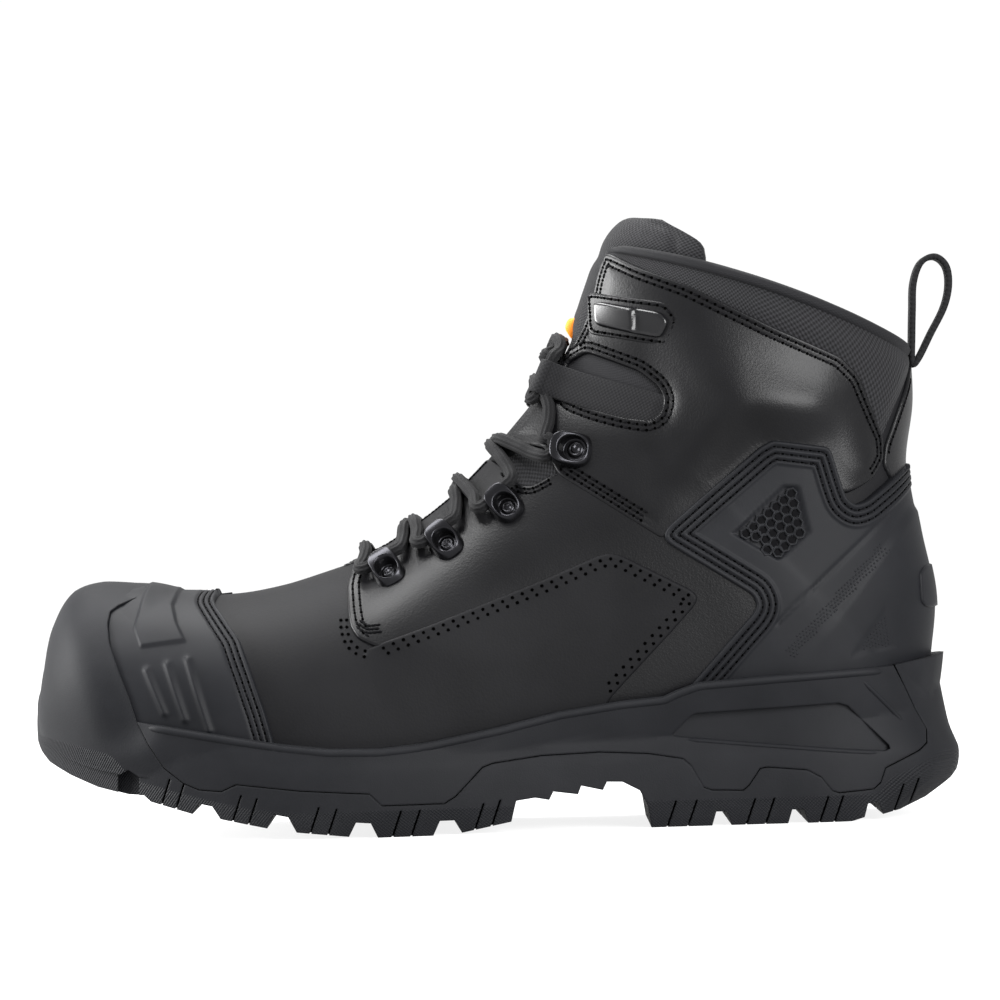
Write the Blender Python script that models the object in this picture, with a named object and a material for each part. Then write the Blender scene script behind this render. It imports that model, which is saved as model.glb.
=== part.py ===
"""A laced safety boot: lugged outsole, cup midsole, hollow upper, overlays, tongue and lace hardware.

Sizes are millimetres until a mesh is made. The toe points to -X, the outer side of the foot to -Y.
"""
import math

import bmesh
import bpy
import numpy as np

MM = 0.001
CLEAR = 0.3
WALL = 2.4
COLLAR_PAD = 5.0
TONGUE_THICK = 4.5
TONGUE_COLUMN = 5
TONGUE_CLEAR = 0.5
INSOLE_THICK = 4.0
TOE_CAP_THICK = 1.7
COUNTER_THICK = 2.4
PANEL_THICK = 1.2
LACE_RADIUS = 2.2
GROOVE_DEPTH = 5.0
CHANNEL_HALF = 3.0
TOE_SPRING = 17.5
SEAM = CLEAR / 2
HIGH, FAR = 95.0, 170.0
ACROSS = 90.0
AROUND = 46
MID_Y = 2.0

OUTER, INNER = -1.0, 1.0
FOOT_END = 16.0
COLLAR = 22.0
THROAT = 7.3
WIDEST = 0.4

# One row per section of the last, from the toe tip over the heel and up the back to the collar.
# foot and top are the ends of the section line in side view, mid the middle line across the foot,
# low and max the half widths at the foot edge and at the widest, at the height of the widest,
# dome the roundness above it, bow the lift of the line between its ends, gap the throat's half width.
COLUMNS = ("foot_x", "foot_z", "top_x", "top_z", "mid", "low_out", "low_in", "max_out", "max_in",
           "at", "dome", "bow", "gap")
SECTIONS = np.array((
    (-147.0, 36.5, -147.0, 36.5, 8.5, 0.0, 0.0, 0.0, 0.0, 0.30, 2.0, 0.0, 0.0),
    (-145.5, 35.4, -146.6, 46.5, 8.3, 14.2, 13.8, 14.6, 14.2, 0.30, 2.1, 0.0, 0.0),
    (-141.0, 32.6, -145.2, 57.0, 8.0, 25.0, 22.0, 25.8, 22.8, 0.30, 2.3, 0.0, 0.0),
    (-133.0, 28.8, -141.5, 69.0, 7.5, 35.5, 29.5, 36.6, 30.5, 0.30, 2.6, 0.0, 0.0),
    (-122.0, 25.4, -134.0, 77.6, 7.0, 43.5, 36.0, 44.8, 37.3, 0.30, 2.8, 0.0, 0.0),
    (-108.0, 23.0, -120.0, 80.6, 6.5, 49.0, 40.5, 50.4, 42.0, 0.28, 2.7, 0.0, 0.0),
    (-85.0, 21.3, -95.0, 79.7, 6.0, 53.0, 43.5, 54.6, 45.2, 0.26, 2.5, 0.0, 0.0),
    (-60.0, 20.3, -68.0, 83.4, 5.5, 54.5, 43.5, 56.2, 45.4, 0.25, 2.3, 0.0, 4.0),
    (-35.0, 20.5, -42.0, 92.0, 5.0, 52.5, 40.5, 54.4, 42.8, 0.25, 2.2, 0.0, 11.0),
    (-8.0, 23.4, -18.6, 108.2, 4.5, 48.0, 34.5, 50.4, 38.2, 0.26, 2.1, 0.0, 14.0),
    (20.0, 28.6, -4.0, 123.3, 4.0, 42.5, 30.5, 46.4, 36.2, 0.29, 2.1, 0.0, 15.5),
    (52.0, 31.2, 5.2, 136.7, 3.5, 38.5, 30.0, 44.4, 36.8, 0.33, 2.1, 0.0, 17.0),
    (85.0, 33.0, 12.0, 147.3, 3.0, 36.5, 33.0, 43.8, 39.2, 0.38, 2.1, 0.0, 18.0),
    (112.0, 34.0, 16.8, 155.3, 2.5, 33.5, 32.0, 43.4, 40.6, 0.42, 2.1, 0.0, 18.5),
    (130.0, 34.6, 19.8, 161.0, 2.2, 24.5, 24.3, 42.8, 41.4, 0.45, 2.1, 0.0, 19.0),
    (139.0, 35.8, 21.8, 165.2, 2.0, 12.0, 12.0, 42.4, 41.6, 0.48, 2.1, 0.0, 19.5),
    (142.0, 39.5, 23.2, 168.7, 2.0, 0.0, 0.0, 42.0, 41.6, 0.50, 2.1, 0.0, 20.0),
    (144.6, 55.0, 25.6, 173.6, 2.0, 0.0, 0.0, 41.6, 41.4, 0.50, 2.1, 0.0, 20.5),
    (145.4, 74.0, 27.4, 178.5, 2.0, 0.0, 0.0, 41.6, 41.6, 0.50, 2.1, 0.5, 21.0),
    (141.6, 95.0, 29.1, 183.0, 2.0, 0.0, 0.0, 42.2, 42.2, 0.50, 2.1, 1.0, 21.5),
    (138.6, 117.0, 30.6, 187.0, 2.0, 0.0, 0.0, 43.2, 43.2, 0.50, 2.1, 2.0, 22.0),
    (141.4, 138.0, 32.2, 190.0, 2.0, 0.0, 0.0, 44.2, 44.2, 0.50, 2.1, 3.2, 22.5),
    (141.0, 156.5, 34.0, 192.6, 2.0, 0.0, 0.0, 44.2, 44.2, 0.50, 2.1, 4.4, 23.0),
    (140.5, 165.0, 37.5, 198.5, 2.0, 0.0, 0.0, 43.6, 43.6, 0.50, 2.1, 4.4, 23.0),
    (140.0, 172.0, 42.6, 205.4, 2.0, 0.0, 0.0, 42.6, 42.6, 0.50, 2.1, 3.0, 23.0),
))

ROWS = (0.0, 0.4, 0.8, 1.2, 1.7, 2.2, 2.8, 3.4, 4.0, 4.6, 5.3, 6.0, 6.6, 7.0, 7.3, 7.42, 7.7, 8.1, 8.6, 9.2,
        9.8, 10.5, 11.2, 12.0, 12.7, 13.4, 14.0, 14.6, 15.2, 15.6, 16.0, 16.6, 17.3, 18.0, 18.8, 19.6, 20.4,
        21.2, 22.0)
STEPS = 8
WALL_ROWS = (0.0, 0.5, 1.0, 1.6, 2.2, 2.8, 3.4, 3.9, 4.4, 5.0, 5.6, 8.0, 11.0, 13.0, 14.0, 15.0, 15.6, 16.0,
             16.8, 18.0)
WALL_STEPS = 7
TONGUE_ROWS = (7.0, 7.3, 7.42, 7.7, 8.1, 8.6, 9.2, 9.8, 10.5, 11.2, 12.0, 12.7, 13.4, 14.6, 16.0, 17.3, 18.8,
               20.4, 21.2, 22.0, 22.7, 23.4, 24.0)

# The sole's outline from above: x, y going round from the toe tip along the outer side and back.
OUTLINE = ((-155.0, 9.0), (-150.5, -12.0), (-138.0, -31.0), (-116.0, -45.5), (-86.0, -54.0), (-55.0, -56.0),
           (-25.0, -53.0), (10.0, -46.0), (45.0, -41.0), (80.0, -39.5), (112.0, -38.5), (138.0, -29.0),
           (151.0, -13.0), (155.0, 2.0), (151.0, 17.0), (138.0, 33.0), (112.0, 42.0), (80.0, 41.5),
           (45.0, 38.0), (10.0, 40.0), (-25.0, 48.5), (-55.0, 55.0), (-76.0, 56.0), (-102.0, 54.0),
           (-127.0, 47.0), (-144.0, 35.0), (-152.5, 22.0))

# The sole's wall, a row per level: height above the spring line, inset of the outline, more at the heel.
WALL_LEVELS = ((-6.0, 4.0, 18.0), (0.5, 2.0, 12.0), (5.6, 1.0, 7.0), (10.8, 0.4, 2.6), (16.0, 0.1, 0.4),
               (21.3, 0.0, 0.0), (24.5, 0.2, 0.8), (29.5, 0.6, 2.4), (36.0, 2.6, 1.8))

# How far the bumper stands off the upper along the ridge: station, lift.
BUMPER_LIFT = ((0.0, 6.9), (2.0, 6.2), (3.0, 6.9), (3.8, 7.8), (4.4, 6.9), (5.0, 5.3), (5.6, 4.4))

# Under edge of the sole from toe to heel, in side view: x, z.
TREAD = ((-158.0, 36.0), (-154.4, 32.2), (-152.4, 29.2), (-149.2, 26.0), (-141.5, 22.1), (-131.7, 18.2),
         (-121.3, 15.7), (-116.0, 15.5), (-113.8, 13.4), (-100.0, 9.2),
         (-97.8, 12.6), (-93.4, 11.6), (-90.8, 7.4), (-75.6, 4.1), (-73.4, 8.6), (-68.6, 7.6), (-66.0, 2.5),
         (-49.0, 0.6), (-46.6, 5.2), (-41.8, 4.8), (-39.6, 0.0), (-21.6, 0.0), (-19.3, 4.8), (-14.6, 4.8),
         (-12.2, 0.6), (4.0, 3.6), (5.8, 10.4), (12.0, 11.2), (16.6, 10.3), (18.0, 13.0), (26.1, 11.8),
         (27.2, 14.6), (34.3, 12.9), (35.7, 15.6), (40.8, 15.4), (46.4, 12.4), (48.9, 7.5), (50.0, 0.0),
         (70.0, 0.0), (71.4, 4.6), (75.0, 4.6), (76.4, 0.0), (95.0, 0.0), (96.4, 4.6), (100.2, 4.6),
         (101.6, 0.0), (116.0, 0.0), (120.4, 1.2), (121.6, 5.6), (125.0, 6.0), (126.8, 1.8), (133.0, 3.0),
         (142.2, 6.4), (151.3, 12.2), (158.0, 19.0))

# Channel along the middle of the tread, its lower edge from toe to heel and its upper edge back: x, z.
CHANNEL_DEEP = GROOVE_DEPTH + 0.8
CHANNEL_LOW = ((-130.0, 12.0), (-100.0, 4.0), (-60.0, -4.0), (130.0, -4.0), (142.0, 4.0))
CHANNEL_HIGH = ((140.0, 12.9), (118.0, CHANNEL_DEEP), (49.0, CHANNEL_DEEP), (44.0, 8.7), (4.0, 8.7),
                (0.0, CHANNEL_DEEP), (-50.0, CHANNEL_DEEP), (-76.0, 10.2), (-100.0, 15.4), (-126.0, 23.7))

# Line between outsole and midsole on the side, toe to heel: x, z.
SPLIT = ((-117.8, 39.6), (-114.2, 32.3), (-109.4, 24.6), (-103.0, 19.4), (-97.8, 17.1), (-90.5, 16.4),
         (-85.3, 18.6), (-64.6, 16.0), (-42.1, 14.4), (-38.1, 10.4), (-17.8, 10.4), (-14.1, 12.6), (-5.0, 21.8),
         (-1.5, 23.0), (14.4, 24.9), (33.7, 25.4), (49.4, 24.4), (60.8, 22.4), (63.3, 20.2), (67.4, 12.8),
         (70.0, 11.8), (80.4, 11.4), (82.4, 13.1), (86.1, 18.4), (88.5, 18.8), (101.6, 17.5), (106.1, 15.0),
         (109.7, 10.4), (112.0, 9.6), (123.5, 10.4), (125.9, 12.4), (127.7, 17.2), (139.5, 22.4), (142.3, 24.7),
         (142.5, 29.2), (138.9, 35.7), (135.3, 43.4), (131.6, 50.8))

# Top edge of the midsole, toe to heel: x, z.
RIM = ((-117.8, 39.6), (-93.6, 35.4), (-74.1, 31.9), (-54.5, 29.4), (-38.2, 29.0), (-21.8, 30.5), (1.2, 34.7),
       (21.0, 39.1), (40.7, 41.8), (55.4, 43.0), (60.4, 45.2), (67.0, 47.3), (93.2, 48.9), (109.5, 49.7),
       (131.6, 50.8))

# Rear edge of the toe bumper from the midsole up to the ridge: x, z.
BUMPER_EDGE = ((-117.8, 39.6), (-119.8, 47.4), (-123.0, 55.8), (-126.4, 65.8), (-127.2, 71.7), (-126.6, 75.6),
               (-124.1, 77.5), (-118.5, 79.8), (-116.0, 82.2), (-113.0, 84.0))

# Rear edge of the toe cap from the rim up to the ridge: x, z.
CAP_EDGE = ((-72.8, 32.4), (-75.4, 42.1), (-79.4, 54.0), (-83.4, 64.7), (-88.6, 71.4), (-93.0, 77.0),
            (-91.7, 80.1), (-88.0, 82.5))

# Edge of the heel counter from the rim, round the front and up to the back: x, z.
COUNTER_EDGE = ((64.9, 47.9), (84.9, 69.4), (86.4, 72.1), (85.0, 75.5), (57.7, 93.1), (56.5, 95.7), (57.8, 98.4),
                (88.3, 123.9), (92.9, 126.4), (110.6, 123.7), (111.9, 122.3), (114.8, 111.7), (116.5, 106.4),
                (119.2, 104.1), (122.9, 105.3), (130.8, 111.3), (140.0, 118.8))

# Recess in the midsole's heel frame: x, z.
HEEL_RECESS = ((58.5, 29.4), (65.5, 37.1), (113.5, 39.4), (128.0, 24.8), (115.0, 24.6), (104.0, 21.6),
               (86.0, 22.4), (66.0, 24.8))
RECESS_DEPTH = 2.0

# Eyestay from the throat's lower end, round the front and along its lower edge to the ankle: x, z.
EYESTAY_EDGE = ((-45.6, 89.4), (-48.2, 81.2), (-47.4, 72.2), (-46.5, 64.7), (-43.0, 59.4), (-37.1, 61.5),
                (-21.8, 68.1), (17.2, 82.6), (34.1, 89.7), (44.0, 90.6), (55.4, 94.0), (22.5, 116.0), (18.8, 124.6))

# Ankle panel from the throat's upper end along the collar, down the heel and along the counter: x, z.
ANKLE_EDGE = ((51.4, 184.5), (67.0, 178.0), (94.6, 163.2), (116.0, 153.2), (122.1, 146.9), (125.8, 137.2),
              (129.7, 126.6), (129.5, 118.5), (126.0, 112.8), (121.1, 111.2), (116.6, 112.4), (113.4, 122.9),
              (111.5, 124.6), (92.8, 127.3), (87.7, 124.8), (57.2, 99.3), (55.8, 94.6), (22.9, 116.6), (19.3, 125.1))
PANEL_SEAM = 10.6

# Top lace plate: x, z.
TOP_PLATE = ((39.5, 173.6), (58.6, 169.5), (61.2, 166.1), (58.4, 160.6), (39.0, 165.4))
PLATE_THICK = 2.4

# Lace holders in side view, lowest first: x, z of the middle, length, tail, turn towards the throat in degrees.
# The lace meets the hook at its throat side, the others at their ends.
HOLDERS = (("loop_1", -35.2, 86.8, 10.4, 7.4, 0.0), ("loop_2", -15.9, 96.2, 10.4, 7.4, 0.0),
           ("loop_3", 4.3, 108.6, 10.4, 7.4, 0.0), ("hook", 26.0, 127.0, 11.0, 8.4, 40.0),
           ("webbing", 23.0, 145.6, 9.0, 17.0, 12.0))
TUBE_OUT, TUBE_IN, TUBE_UP = 3.4, 2.5, 3.5
TUBE_SHIFT = 2.0
TUBE_TURNS = np.radians((216.0, 270.0, 321.0, 12.0, 63.0, 114.0, 165.0))
LACE_FREE, LACE_STRAIGHT = 0.3, 2.6
LACE_EDGE, LACE_RIDGE = 5.1, 0.2
LACE_TOP = (34.4, 168.2)
LACE_SIDES, LACE_RINGS, LACE_HUGS = 5, 9, 5
HOOK_HALF = 3.0

# Pull loop's middle line in side view: x, z.
PULL = ((143.0, 154.6), (141.8, 163.5), (142.2, 172.5), (144.6, 181.8), (149.4, 186.6), (153.4, 183.6),
        (153.8, 173.5), (151.2, 163.8), (147.2, 156.6))
PULL_THICK, PULL_WIDE = 2.0, 11.0


def smooth(low, high, value):
    """Smooth step of value between low and high."""
    share = np.clip((np.asarray(value, float) - low) / (high - low), 0.0, 1.0)
    return share * share * (3.0 - 2.0 * share)


def spline(table, place):
    """Rows of a table read at fractional row numbers, as a smooth curve through the rows."""
    table = np.asarray(table, float)
    place = np.clip(np.asarray(place, float), 0.0, len(table) - 1.0)
    row = np.minimum(place.astype(int), len(table) - 2)
    part = (place - row)[..., None]
    a, b = table[np.maximum(row - 1, 0)], table[row]
    c, d = table[row + 1], table[np.minimum(row + 2, len(table) - 1)]
    return 0.5 * (2 * b + (c - a) * part + (2 * a - 5 * b + 4 * c - d) * part ** 2
                  + (3 * b - a - 3 * c + d) * part ** 3)


def section(s):
    """The named columns of the section table at station s."""
    values = spline(SECTIONS, s)
    return {name: values[..., i] for i, name in enumerate(COLUMNS)}


def bare(s, v, side):
    """Point of the upper's outer skin at station s, v up the section from foot edge (0) to ridge (1)."""
    s, v = np.broadcast_arrays(np.asarray(s, float), np.asarray(v, float))
    q = section(s)
    low = np.maximum(np.where(side < 0, q["low_out"], q["low_in"]), 0.0)
    wide = np.maximum(np.where(side < 0, q["max_out"], q["max_in"]), 1e-6)
    under = np.cos(np.clip(v / WIDEST, 0.0, 1.0) * math.pi / 2)
    over = np.sin(np.clip((v - WIDEST) / (1.0 - WIDEST), 0.0, 1.0) * math.pi / 2)
    height = np.where(v < WIDEST, q["at"] * (1.0 - under), q["at"] + (1.0 - q["at"]) * over)
    shut = 1.0 - np.minimum(low / wide, 1.0) ** 2
    width = wide * np.where(v < WIDEST, np.sqrt(np.maximum(1.0 - shut * under ** 2.2, 0.0)),
                            np.sqrt(np.maximum(1.0 - over ** q["dome"], 0.0)))
    dx, dz = q["top_x"] - q["foot_x"], q["top_z"] - q["foot_z"]
    length = np.maximum(np.hypot(dx, dz), 1e-6)
    bow = 4.0 * q["bow"] * height * (1.0 - height)
    x = q["foot_x"] + dx * height + bow * dz / length
    z = q["foot_z"] + dz * height - bow * dx / length
    return np.stack((x, q["mid"] + side * width, z), -1)


def normal(s, v, side):
    """Outward direction of the skin."""
    s, v = np.broadcast_arrays(np.asarray(s, float), np.asarray(v, float))
    near = np.clip(s, 0.15, COLLAR + 2.0)
    up = np.clip(v, 0.03, 1.0)
    along = bare(near + 0.02, up, side) - bare(near - 0.02, up, side)
    across = bare(near, up, side) - bare(near, up - 0.02, side)
    out = side * np.cross(across, along)
    out = out / np.maximum(np.linalg.norm(out, axis=-1, keepdims=True), 1e-9)
    tip = np.broadcast_to(np.array((-1.0, 0.0, 0.0)), out.shape)
    line = bare(near + 0.02, v, side) - bare(near - 0.02, v, side)
    turn = np.where(v > 0.5, 1.0, -1.0)
    flat = np.stack((-line[..., 2] * turn, np.zeros_like(turn), line[..., 0] * turn), -1)
    flat = flat / np.maximum(np.linalg.norm(flat, axis=-1, keepdims=True), 1e-9)
    out = np.where((v > 0.999)[..., None] | ((v < 1e-6) & (s >= FOOT_END))[..., None], flat, out)
    return np.where((s < 1e-6)[..., None], tip, out)


def skin(s, v, side, lift):
    """Point of the skin moved outward by lift."""
    return bare(s, v, side) + normal(s, v, side) * np.asarray(lift, float)[..., None]


def throat_v(s):
    """v of the throat's edge at station s, 1 where the upper is closed over the foot."""
    q = section(np.asarray(s, float))
    half = q["gap"] * np.sqrt(smooth(THROAT, THROAT + 0.9, s))
    share = np.minimum(half / np.maximum(q["max_out"], 1.0), 0.95)
    over = (1.0 - share ** 2) ** (1.0 / q["dome"])
    edge = WIDEST + (1.0 - WIDEST) * np.arcsin(np.clip(over, 0.0, 1.0)) / (math.pi / 2)
    return np.where(np.asarray(s) <= THROAT, 1.0, edge)


def wall(s, v):
    """Thickness of the upper, more at the padded collar."""
    return WALL + COLLAR_PAD * smooth(19.0, 20.6, s) * (1.0 - smooth(0.42, 0.56, v))


def solid(name, points, faces):
    """An object from points in millimetres and faces, with equal points merged and faces turned out."""
    points = np.asarray(points, float)
    keys, index = {}, []
    for p in points:
        key = (round(p[0], 3), round(p[1], 3), round(p[2], 3))
        index.append(keys.setdefault(key, len(keys)))
    merged = np.zeros((len(keys), 3))
    for old, new in enumerate(index):
        merged[new] = points[old]
    clean = []
    for face in faces:
        ring = []
        for i in face:
            if index[i] not in ring:
                ring.append(index[i])
        if len(ring) > 2:
            clean.append(ring)
    mesh = bpy.data.meshes.new(name)
    mesh.from_pydata((merged * MM).tolist(), [], clean)
    thing = bpy.data.objects.new(name, mesh)
    bpy.context.scene.collection.objects.link(thing)
    tidy(thing)
    return thing


def tidy(thing):
    """Triangles only, no loose points, faces out."""
    bm = bmesh.new()
    bm.from_mesh(thing.data)
    bmesh.ops.remove_doubles(bm, verts=bm.verts, dist=2e-6)
    bmesh.ops.dissolve_degenerate(bm, edges=bm.edges, dist=2e-6)
    bmesh.ops.triangulate(bm, faces=bm.faces)
    bmesh.ops.delete(bm, geom=[v for v in bm.verts if not v.link_faces], context="VERTS")
    bmesh.ops.recalc_face_normals(bm, faces=bm.faces)
    bm.to_mesh(thing.data)
    bm.free()
    thing.data.update()


def combine(thing, other, operation):
    """Boolean of two objects, kept in the first; the second is used up."""
    step = thing.modifiers.new("shape", "BOOLEAN")
    step.operation, step.solver, step.object = operation, "EXACT", other
    graph = bpy.context.evaluated_depsgraph_get()
    mesh = bpy.data.meshes.new_from_object(thing.evaluated_get(graph))
    thing.modifiers.remove(step)
    thing.data = mesh
    bpy.data.objects.remove(other)
    tidy(thing)
    return thing


def plain(thing):
    """Flat neighbours joined into larger faces, then cut into triangles again."""
    bm = bmesh.new()
    bm.from_mesh(thing.data)
    bmesh.ops.dissolve_limit(bm, angle_limit=math.radians(1.2), verts=bm.verts, edges=bm.edges)
    bm.to_mesh(thing.data)
    bm.free()
    tidy(thing)
    return thing


def strips(count, width, closed):
    """Quads of a grid of count rings by width points."""
    span = width if closed else width - 1
    return [(r * width + i, r * width + (i + 1) % width, (r + 1) * width + (i + 1) % width, (r + 1) * width + i)
            for r in range(count - 1) for i in range(span)]


def form(name, lift, drop, rows=ROWS, steps=STEPS):
    """Closed body of the last grown by lift, its underside lowered by drop."""
    rings = []
    for s in rows:
        edge = float(throat_v(s))
        levels = np.concatenate((np.linspace(0.0, edge, steps + 1), (0.5 + 0.5 * edge, 1.0)))
        grown = lift(s, levels) if callable(lift) else np.full(levels.shape, lift)
        left = skin(np.full(levels.shape, s), levels, OUTER, grown)
        right = skin(np.full(levels.shape, s), levels, INNER, grown)
        down = np.array((0.0, 0.0, drop if s < FOOT_END else 0.0))
        rings.append(np.vstack((left[:1] - down, left, right[-2::-1], right[:1] - down)))
    width = len(rings[0])
    faces = strips(len(rings), width, True)
    faces.append(tuple((len(rings) - 1) * width + i for i in range(width)))
    return solid(name, np.vstack(rings), faces)


def prism(name, outline, low, high):
    """Side-view outline (x, z) drawn out across the boot from y low to y high."""
    count = len(outline)
    points = [(x, low, z) for x, z in outline] + [(x, high, z) for x, z in outline]
    faces = [tuple(range(count)), tuple(range(2 * count - 1, count - 1, -1))]
    faces += [(i, i + count, (i + 1) % count + count, (i + 1) % count) for i in range(count)]
    return solid(name, points, faces)


def moved(line, x, z):
    """A side-view line shifted by x and z."""
    return tuple((a + x, b + z) for a, b in line)


def around(count):
    """Points and outward directions of the sole's outline, as smooth as a last."""
    ring = np.asarray(OUTLINE + OUTLINE[:3])
    place = np.arange(count) / count * len(OUTLINE) + 1.0
    ring = np.vstack((ring[-4:-3], ring))
    points = spline(ring, place)
    ahead, behind = spline(ring, place + 0.05), spline(ring, place - 0.05)
    way = ahead - behind
    out = np.stack((way[:, 1], -way[:, 0]), 1)
    out /= np.linalg.norm(out, axis=1, keepdims=True)
    centre = points.mean(0)
    flip = np.sign(np.sum(out * (points - centre), 1).sum())
    return points, out * flip


def sole_block():
    """The sole's full body inside its outer wall."""
    points, out = around(AROUND)
    spring = TOE_SPRING * smooth(-60.0, -170.0, points[:, 0])
    heel = smooth(118.0, 152.0, points[:, 0])
    rings = [np.column_stack((points - out * (inset + rear * heel)[:, None], level + spring))
             for level, inset, rear in WALL_LEVELS]
    faces = strips(len(rings), len(points), True)
    last = (len(rings) - 1) * len(points)
    faces += [tuple(range(len(points) - 1, -1, -1)), tuple(last + i for i in range(len(points)))]
    return solid("block", np.vstack(rings), faces)


def sole_skin(s, v):
    """How far the sole's wall stands off the upper: thick below, thinner up over the toe."""
    toe = 1.0 - smooth(3.0, 5.5, s)
    side = 5.0 + 1.9 * toe + 1.3 * smooth(11.0, 14.5, s)
    ridge = np.interp(s, *zip(*BUMPER_LIFT))
    return side + (ridge - side) * smooth(0.5, 0.92, v) * (1.0 - smooth(6.0, 7.0, s))


def sole_body():
    """Block and the wall that climbs the toe and the heel, as one body."""
    return combine(sole_block(), form("wall", sole_skin, 1.0, WALL_ROWS, WALL_STEPS), "UNION")


def make_outsole():
    """Outsole with lugs, arch, toe bumper and heel wrap."""
    outline = (TREAD + ((160.0, 55.0), (151.0, 54.0), (131.9, 51.0)) + moved(SPLIT, SEAM, -SEAM)[::-1][1:]
               + moved(BUMPER_EDGE, -SEAM, 0.0)[1:] + ((-112.0, HIGH), (-FAR, HIGH), (-FAR, 36.0)))
    sole = combine(sole_body(), prism("side", outline, -ACROSS, ACROSS), "INTERSECT")
    sole = combine(sole, form("last", CLEAR, CLEAR), "DIFFERENCE")
    middle = MID_Y + 1.0
    channel = prism("channel", CHANNEL_LOW + CHANNEL_HIGH, middle - CHANNEL_HALF, middle + CHANNEL_HALF)
    sole = combine(sole, channel, "DIFFERENCE")
    sole.name = "outsole"
    return plain(sole)


def make_midsole():
    """Cup midsole between outsole and upper, with the recess in its heel frame on both sides."""
    outline = moved(SPLIT, 0.0, SEAM)[1:-1] + RIM[::-1]
    outline = tuple((x + (SEAM if x < -90.0 else -SEAM if x > 128.0 else 0.0), z) for x, z in outline)
    cup = combine(sole_body(), prism("side", outline, -ACROSS, ACROSS), "INTERSECT")
    cup = combine(cup, form("last", CLEAR, CLEAR), "DIFFERENCE")
    points, out = around(AROUND)
    inner = points - out * RECESS_DEPTH
    count = len(inner)
    keep = solid("keep", np.vstack((np.column_stack((inner, np.full(count, 5.0))),
                                    np.column_stack((inner, np.full(count, 60.0))))),
                 strips(2, count, True) + [tuple(range(count)), tuple(range(2 * count - 1, count - 1, -1))])
    recess = combine(prism("recess", HEEL_RECESS, -ACROSS, ACROSS), keep, "DIFFERENCE")
    cup = combine(cup, recess, "DIFFERENCE")
    cup.name = "midsole"
    return plain(cup)


def make_upper():
    """Hollow upper, open at collar, throat and underneath."""
    points, faces = [], []
    width = STEPS + 1
    layer = len(ROWS) * width

    def at(skin_side, inside, row, step):
        return (2 * skin_side + inside) * layer + row * width + step

    for side in (OUTER, INNER):
        for inside in (0, 1):
            for s in ROWS:
                levels = np.linspace(0.0, 1.0, width) * throat_v(s)
                stations = np.full(width, s)
                lift = -wall(stations, levels) if inside else np.zeros(width)
                points.append(skin(stations, levels, side, lift))
    for k in (0, 1):
        for r in range(len(ROWS) - 1):
            for i in range(STEPS):
                for inside in (0, 1):
                    faces.append((at(k, inside, r, i), at(k, inside, r, i + 1),
                                  at(k, inside, r + 1, i + 1), at(k, inside, r + 1, i)))
            if ROWS[r] < FOOT_END:
                faces.append((at(k, 0, r, 0), at(k, 0, r + 1, 0), at(k, 1, r + 1, 0), at(k, 1, r, 0)))
            if ROWS[r + 1] > THROAT:
                faces.append((at(k, 0, r, STEPS), at(k, 0, r + 1, STEPS),
                              at(k, 1, r + 1, STEPS), at(k, 1, r, STEPS)))
        top = len(ROWS) - 1
        for i in range(STEPS):
            faces.append((at(k, 0, top, i), at(k, 0, top, i + 1), at(k, 1, top, i + 1), at(k, 1, top, i)))
    return solid("upper", np.vstack(points), faces)


def make_insole():
    """Loose footbed inside the upper."""
    stations = [s for s in ROWS if 0.3 < s < 15.7]
    left = [skin(s, 0.03, OUTER, -(WALL + 0.8)) for s in stations]
    right = [skin(s, 0.03, INNER, -(WALL + 0.8)) for s in stations]
    ring = np.array(left + right[::-1])
    foot = np.array([section(np.float64(s))["foot_z"] for s in stations + stations[::-1]])
    low, high = ring.copy(), ring.copy()
    low[:, 2] = foot
    high[:, 2] = foot + INSOLE_THICK
    count, half = len(ring), len(stations)
    faces = strips(2, count, True)
    for base in (0, count):
        faces += [(base + i, base + i + 1, base + count - 2 - i, base + count - 1 - i) for i in range(half - 1)]
    return solid("insole", np.vstack((low, high)), faces)


def make_tongue():
    """Padded tongue under the throat, its wings inside the collar and its top above it."""
    rings = []
    for s in TONGUE_ROWS:
        edge = float(throat_v(s))
        first = TONGUE_COLUMN / STEPS + 0.16 * smooth(22.2, 24.2, s)
        wing = np.linspace(first, 1.0, STEPS - TONGUE_COLUMN + 1) * edge
        levels = np.concatenate((wing, (0.5 + 0.5 * edge, 1.0)))
        stack = np.full(levels.shape, s)
        dip = 2.4 * smooth(min(edge, 0.9), 1.0, levels) * smooth(THROAT, THROAT + 1.0, s)
        lift = -(wall(stack, levels) + TONGUE_CLEAR + dip)
        thick = TONGUE_THICK * (0.45 + 0.55 * smooth(0.0, 0.12, levels - levels[0]))
        thick = thick * (1.0 - 0.3 * smooth(23.0, 24.0, s))
        outer = [skin(stack, levels, side, lift) for side in (OUTER, INNER)]
        inner = [skin(stack, levels, side, lift - thick) for side in (OUTER, INNER)]
        rings.append(np.vstack((outer[0], outer[1][-2::-1], inner[1], inner[0][-2::-1])))
    width = len(rings[0])
    faces = strips(len(rings), width, True)
    half = width // 2
    for base in (0, (len(rings) - 1) * width):
        faces += [(base + i, base + i + 1, base + width - 2 - i, base + width - 1 - i) for i in range(half - 1)]
    return solid("tongue", np.vstack(rings), faces)


def overlay(name, outline, low, high, base, thick):
    """Piece cut between the skin grown by base and by base and thick, inside a side-view outline."""
    piece = combine(form("grown", base + thick, 0.0), prism("edge", outline, low, high), "INTERSECT")
    piece = combine(piece, form("last", base, CLEAR), "DIFFERENCE")
    piece.name = name
    return piece


def throat_line(first, last, count):
    """Throat's edge in side view between two stations, a little inside the leather."""
    s = np.linspace(first, last, count)
    points = bare(s, throat_v(s), OUTER)
    return tuple((p[0] + 0.35, p[2] - 0.2) for p in points)


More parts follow.
